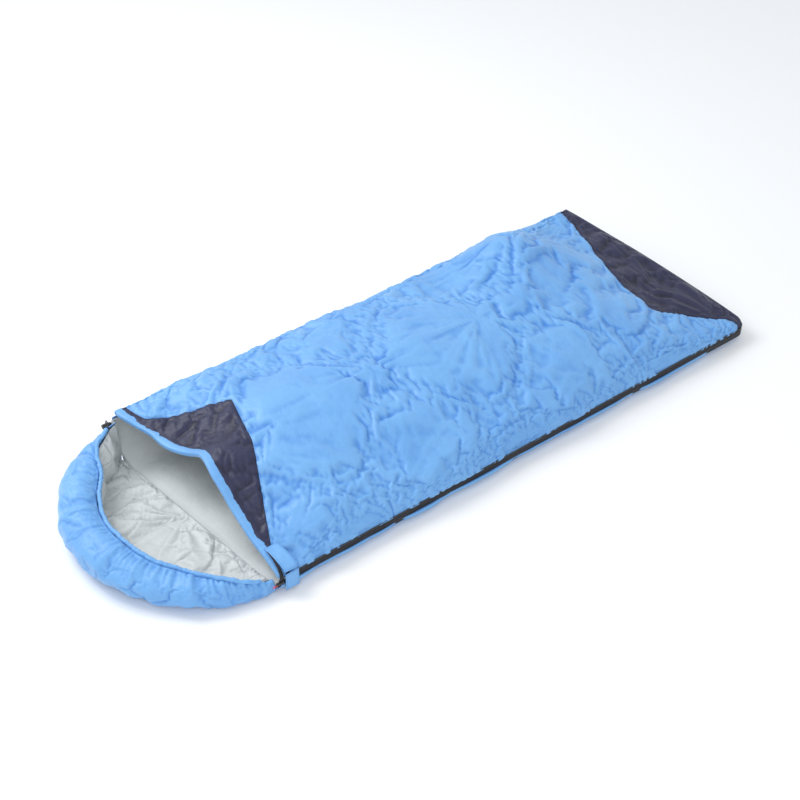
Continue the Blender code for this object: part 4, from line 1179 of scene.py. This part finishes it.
def tape_fold():
    """The zip tape's end, folded back beside the tab."""
    route = np.array(
        [(-0.300, 0.0925), (-0.330, 0.0895), (-0.355, 0.0800), (-0.3690, 0.0640), (-0.3705, 0.0470)]
    )
    share = np.linspace(0.0, 1.0, 30)
    y, z = spread_along(route, share).T
    width = lerp(0.0015, 0.0125, share)
    steps = np.linspace(0.0, 1.0, 7)
    x = TAB_X0 - 0.0008 - width[:, None] * steps[None, :]
    lift = 0.0012 * np.sin(math.pi * steps)[None, :] * share[:, None]
    points = np.stack([x, y[:, None] - lift, z[:, None] + lift], axis=-1)
    piece = grid_object("zip_tape_fold", points, {"painted_shade": np.zeros(points.shape[:2])})
    finished(thicken(piece), TAPE)
    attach(piece, "top_quilt")


tape_fold()


def pile_patch(name, cad, body, seed):
    """Hook or loop tape: the CAD patch's outline with a rough pile on its outer side."""
    low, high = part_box(cad)
    a, b = axes(60, 40)
    x, z = lerp(high.x, low.x, a), lerp(low.z, high.z, b)
    y = np.full_like(x, low.y)
    base = xyz(x, y, z)
    rough = 0.0004 * (noise(a * 45, b * 30, seed) + 1.0) * edge_mask(a, b, 0.03, 0.04)
    piece = grid_object(name, base + np.array([0, 1.0, 0]) * rough[..., None])
    finished(thicken(piece, -0.0010), PILE)
    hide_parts(cad)
    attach(piece, body)


pile_patch("tab_hooks", "tab_hook_patch", "tab_flap", 121)


# ---------------------------------------------------------------- cord and lock
def curve_object(name, points, radius, cyclic=False):
    curve = bpy.data.curves.new(name, "CURVE")
    curve.dimensions = "3D"
    curve.bevel_depth = radius
    curve.bevel_resolution = 3
    curve.use_fill_caps = not cyclic
    spline = curve.splines.new("POLY")
    spline.points.add(len(points) - 1)
    for spot, point in zip(spline.points, points):
        spot.co = (*point, 1.0)
    spline.use_cyclic_u = cyclic
    return add_object(name, curve)


def smooth_route(points, count):
    """Points evenly spread along a smooth curve through the route's own points."""
    route = [2 * points[0] - points[1]] + points + [2 * points[-1] - points[-2]]
    found = []
    for k in range(count):
        place = (len(points) - 1) * k / (count - 1)
        i = min(int(place), len(points) - 2)
        t = place - i
        a, b, c, d = route[i:i + 4]
        found.append(0.5 * (2 * b + (c - a) * t + (2 * a - 5 * b + 4 * c - d) * t ** 2
                            + (3 * b - a - 3 * c + d) * t ** 3))
    return found


def lathe(name, profile, y, z):
    """A solid turned from (radius, x) points about an axis along X."""
    turn = np.linspace(0, 2 * math.pi, 48, endpoint=False)
    rings = [xyz(x, radius * np.cos(turn), radius * np.sin(turn)) for radius, x in profile]
    return sleeve(name, np.array(rings) + np.array([0.0, y, z]))


def make_cord():
    """The drawcord's hanging tail and its knot, with the points of the tail's route."""
    near, far = (Vector(channel_middle(CHANNEL_END + step)) for step in (-1e-3, 1e-3))
    heading = (far - near).normalized()
    mouth = Vector(channel_middle(CHANNEL_END))
    route = [
        mouth + heading * 0.0006,
        mouth + heading * 0.0060,
        Vector((CORD_X - 0.0015, CORD_Y - 0.0120, CORD_TOP_Z + 0.0010)),
        Vector((CORD_X, CORD_Y - 0.0030, CORD_TOP_Z - 0.0020)),
        Vector((CORD_X, CORD_Y, CORD_TOP_Z - 0.0110)),
        Vector((CORD_X, CORD_Y, LOCK_Z)),
        Vector((CORD_X, CORD_Y, 0.1050)),
        Vector((CORD_X, CORD_Y, 0.0800)),
        Vector((CORD_X, CORD_Y, CORD_END_Z)),
    ]
    points = smooth_route(route, 33)
    tail = curve_object("drawcord_tail_braid", points, CORD_RADIUS)
    finished(tail, BRAID)
    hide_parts("drawcord_tail")
    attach(tail, "bag_base")

    middle = Vector((CORD_X, CORD_Y, CORD_END_Z - 0.0047))
    loops = []
    for turn in (2 * math.pi * k / 90 for k in range(90)):
        x, y = math.sin(turn) + 2 * math.sin(2 * turn), math.cos(turn) - 2 * math.cos(2 * turn)
        loops.append(middle + Vector((0.0009 * x, 0.0009 * y, -0.0016 * math.sin(3 * turn))))
    knot = finished(curve_object("drawcord_knot_braid", loops, 0.0013, cyclic=True), BRAID)
    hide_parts("drawcord_knot")
    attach(knot, "bag_base")
    return tail, knot, points


def make_lock():
    """The cord lock's ribbed barrel and the knob that is pressed."""
    low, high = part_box("lock_barrel")
    place = (0.5 * (low.y + high.y), 0.5 * (low.z + high.z))
    radius = 0.5 * (high.z - low.z)
    profile = [
        (0.0005, low.x), (radius - 0.0016, low.x), (radius - 0.0006, low.x + 0.0004), (radius, low.x + 0.0014)
    ]
    for k in range(5):
        rib = low.x + 0.0040 + 0.0026 * k
        groove = radius - 0.0007
        profile += [(radius, rib), (groove, rib + 0.0004), (groove, rib + 0.0011), (radius, rib + 0.0015)]
    profile += [
        (radius, high.x - 0.0010), (radius - 0.0005, high.x - 0.0003), (radius - 0.0014, high.x),
        (radius - 0.0016, high.x - 0.0030), (0.0005, high.x - 0.0032),
    ]
    body = finished(lathe("lock_barrel_ribbed", profile, *place), BLACK)
    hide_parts("lock_barrel")
    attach(body, "cord_lock")

    low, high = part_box("lock_plunger")
    radius = 0.5 * (high.z - low.z)
    profile = [
        (0.0005, high.x - 0.0098), (radius - 0.0004, high.x - 0.0098), (radius - 0.0002, high.x - 0.0050),
        (radius - 0.0002, high.x - 0.0010), (radius - 0.0006, high.x - 0.0003), (radius - 0.0014, high.x),
        (radius - 0.0026, high.x - 0.0003), (0.0005, high.x - 0.0009),
    ]
    knob = finished(lathe("lock_knob", profile, *place), BLACK)
    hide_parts("lock_plunger")
    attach(knob, "lock_button")
    return body, knob


tail, knot, route = make_cord()
body, knob = make_lock()


# ---------------------------------------------------------------- studio
def studio():
    scene = bpy.context.scene
    camera = add_object("camera", bpy.data.cameras.new("camera"))
    camera.data.lens = CAMERA_LENS
    camera.data.sensor_width = 36.0
    camera.location = CAMERA_PLACE
    camera.rotation_euler = Vector(CAMERA_AIM).to_track_quat("-Z", "Y").to_euler()
    scene.camera = camera
    scene.view_settings.view_transform = "Standard"

    world = bpy.data.worlds.new("studio")
    world.use_nodes = True
    world.node_tree.nodes["Background"].inputs["Color"].default_value = (0.93, 0.96, 1.0, 1.0)
    world.node_tree.nodes["Background"].inputs["Strength"].default_value = 0.85
    scene.world = world
    for name, place, size, power in (
        ("key", (-1.6, 2.2, 3.2), 2.2, 95),
        ("fill", (-2.5, -3.5, 3.0), 3.0, 50),
    ):
        light = add_object(name, bpy.data.lights.new(name, "AREA"))
        light.data.size = size
        light.data.energy = power
        light.location = place
        light.rotation_euler = (Vector((0, 0, 0.1)) - Vector(place)).to_track_quat("-Z", "Y").to_euler()

    bm = bmesh.new()
    bmesh.ops.create_grid(bm, x_segments=1, y_segments=1, size=30.0)
    floor = smooth_object("floor", bm)
    floor.location.z = -0.0005
    coated(floor, principled("floor_white", (0.90, 0.90, 0.90), 0.9)[0])


studio()
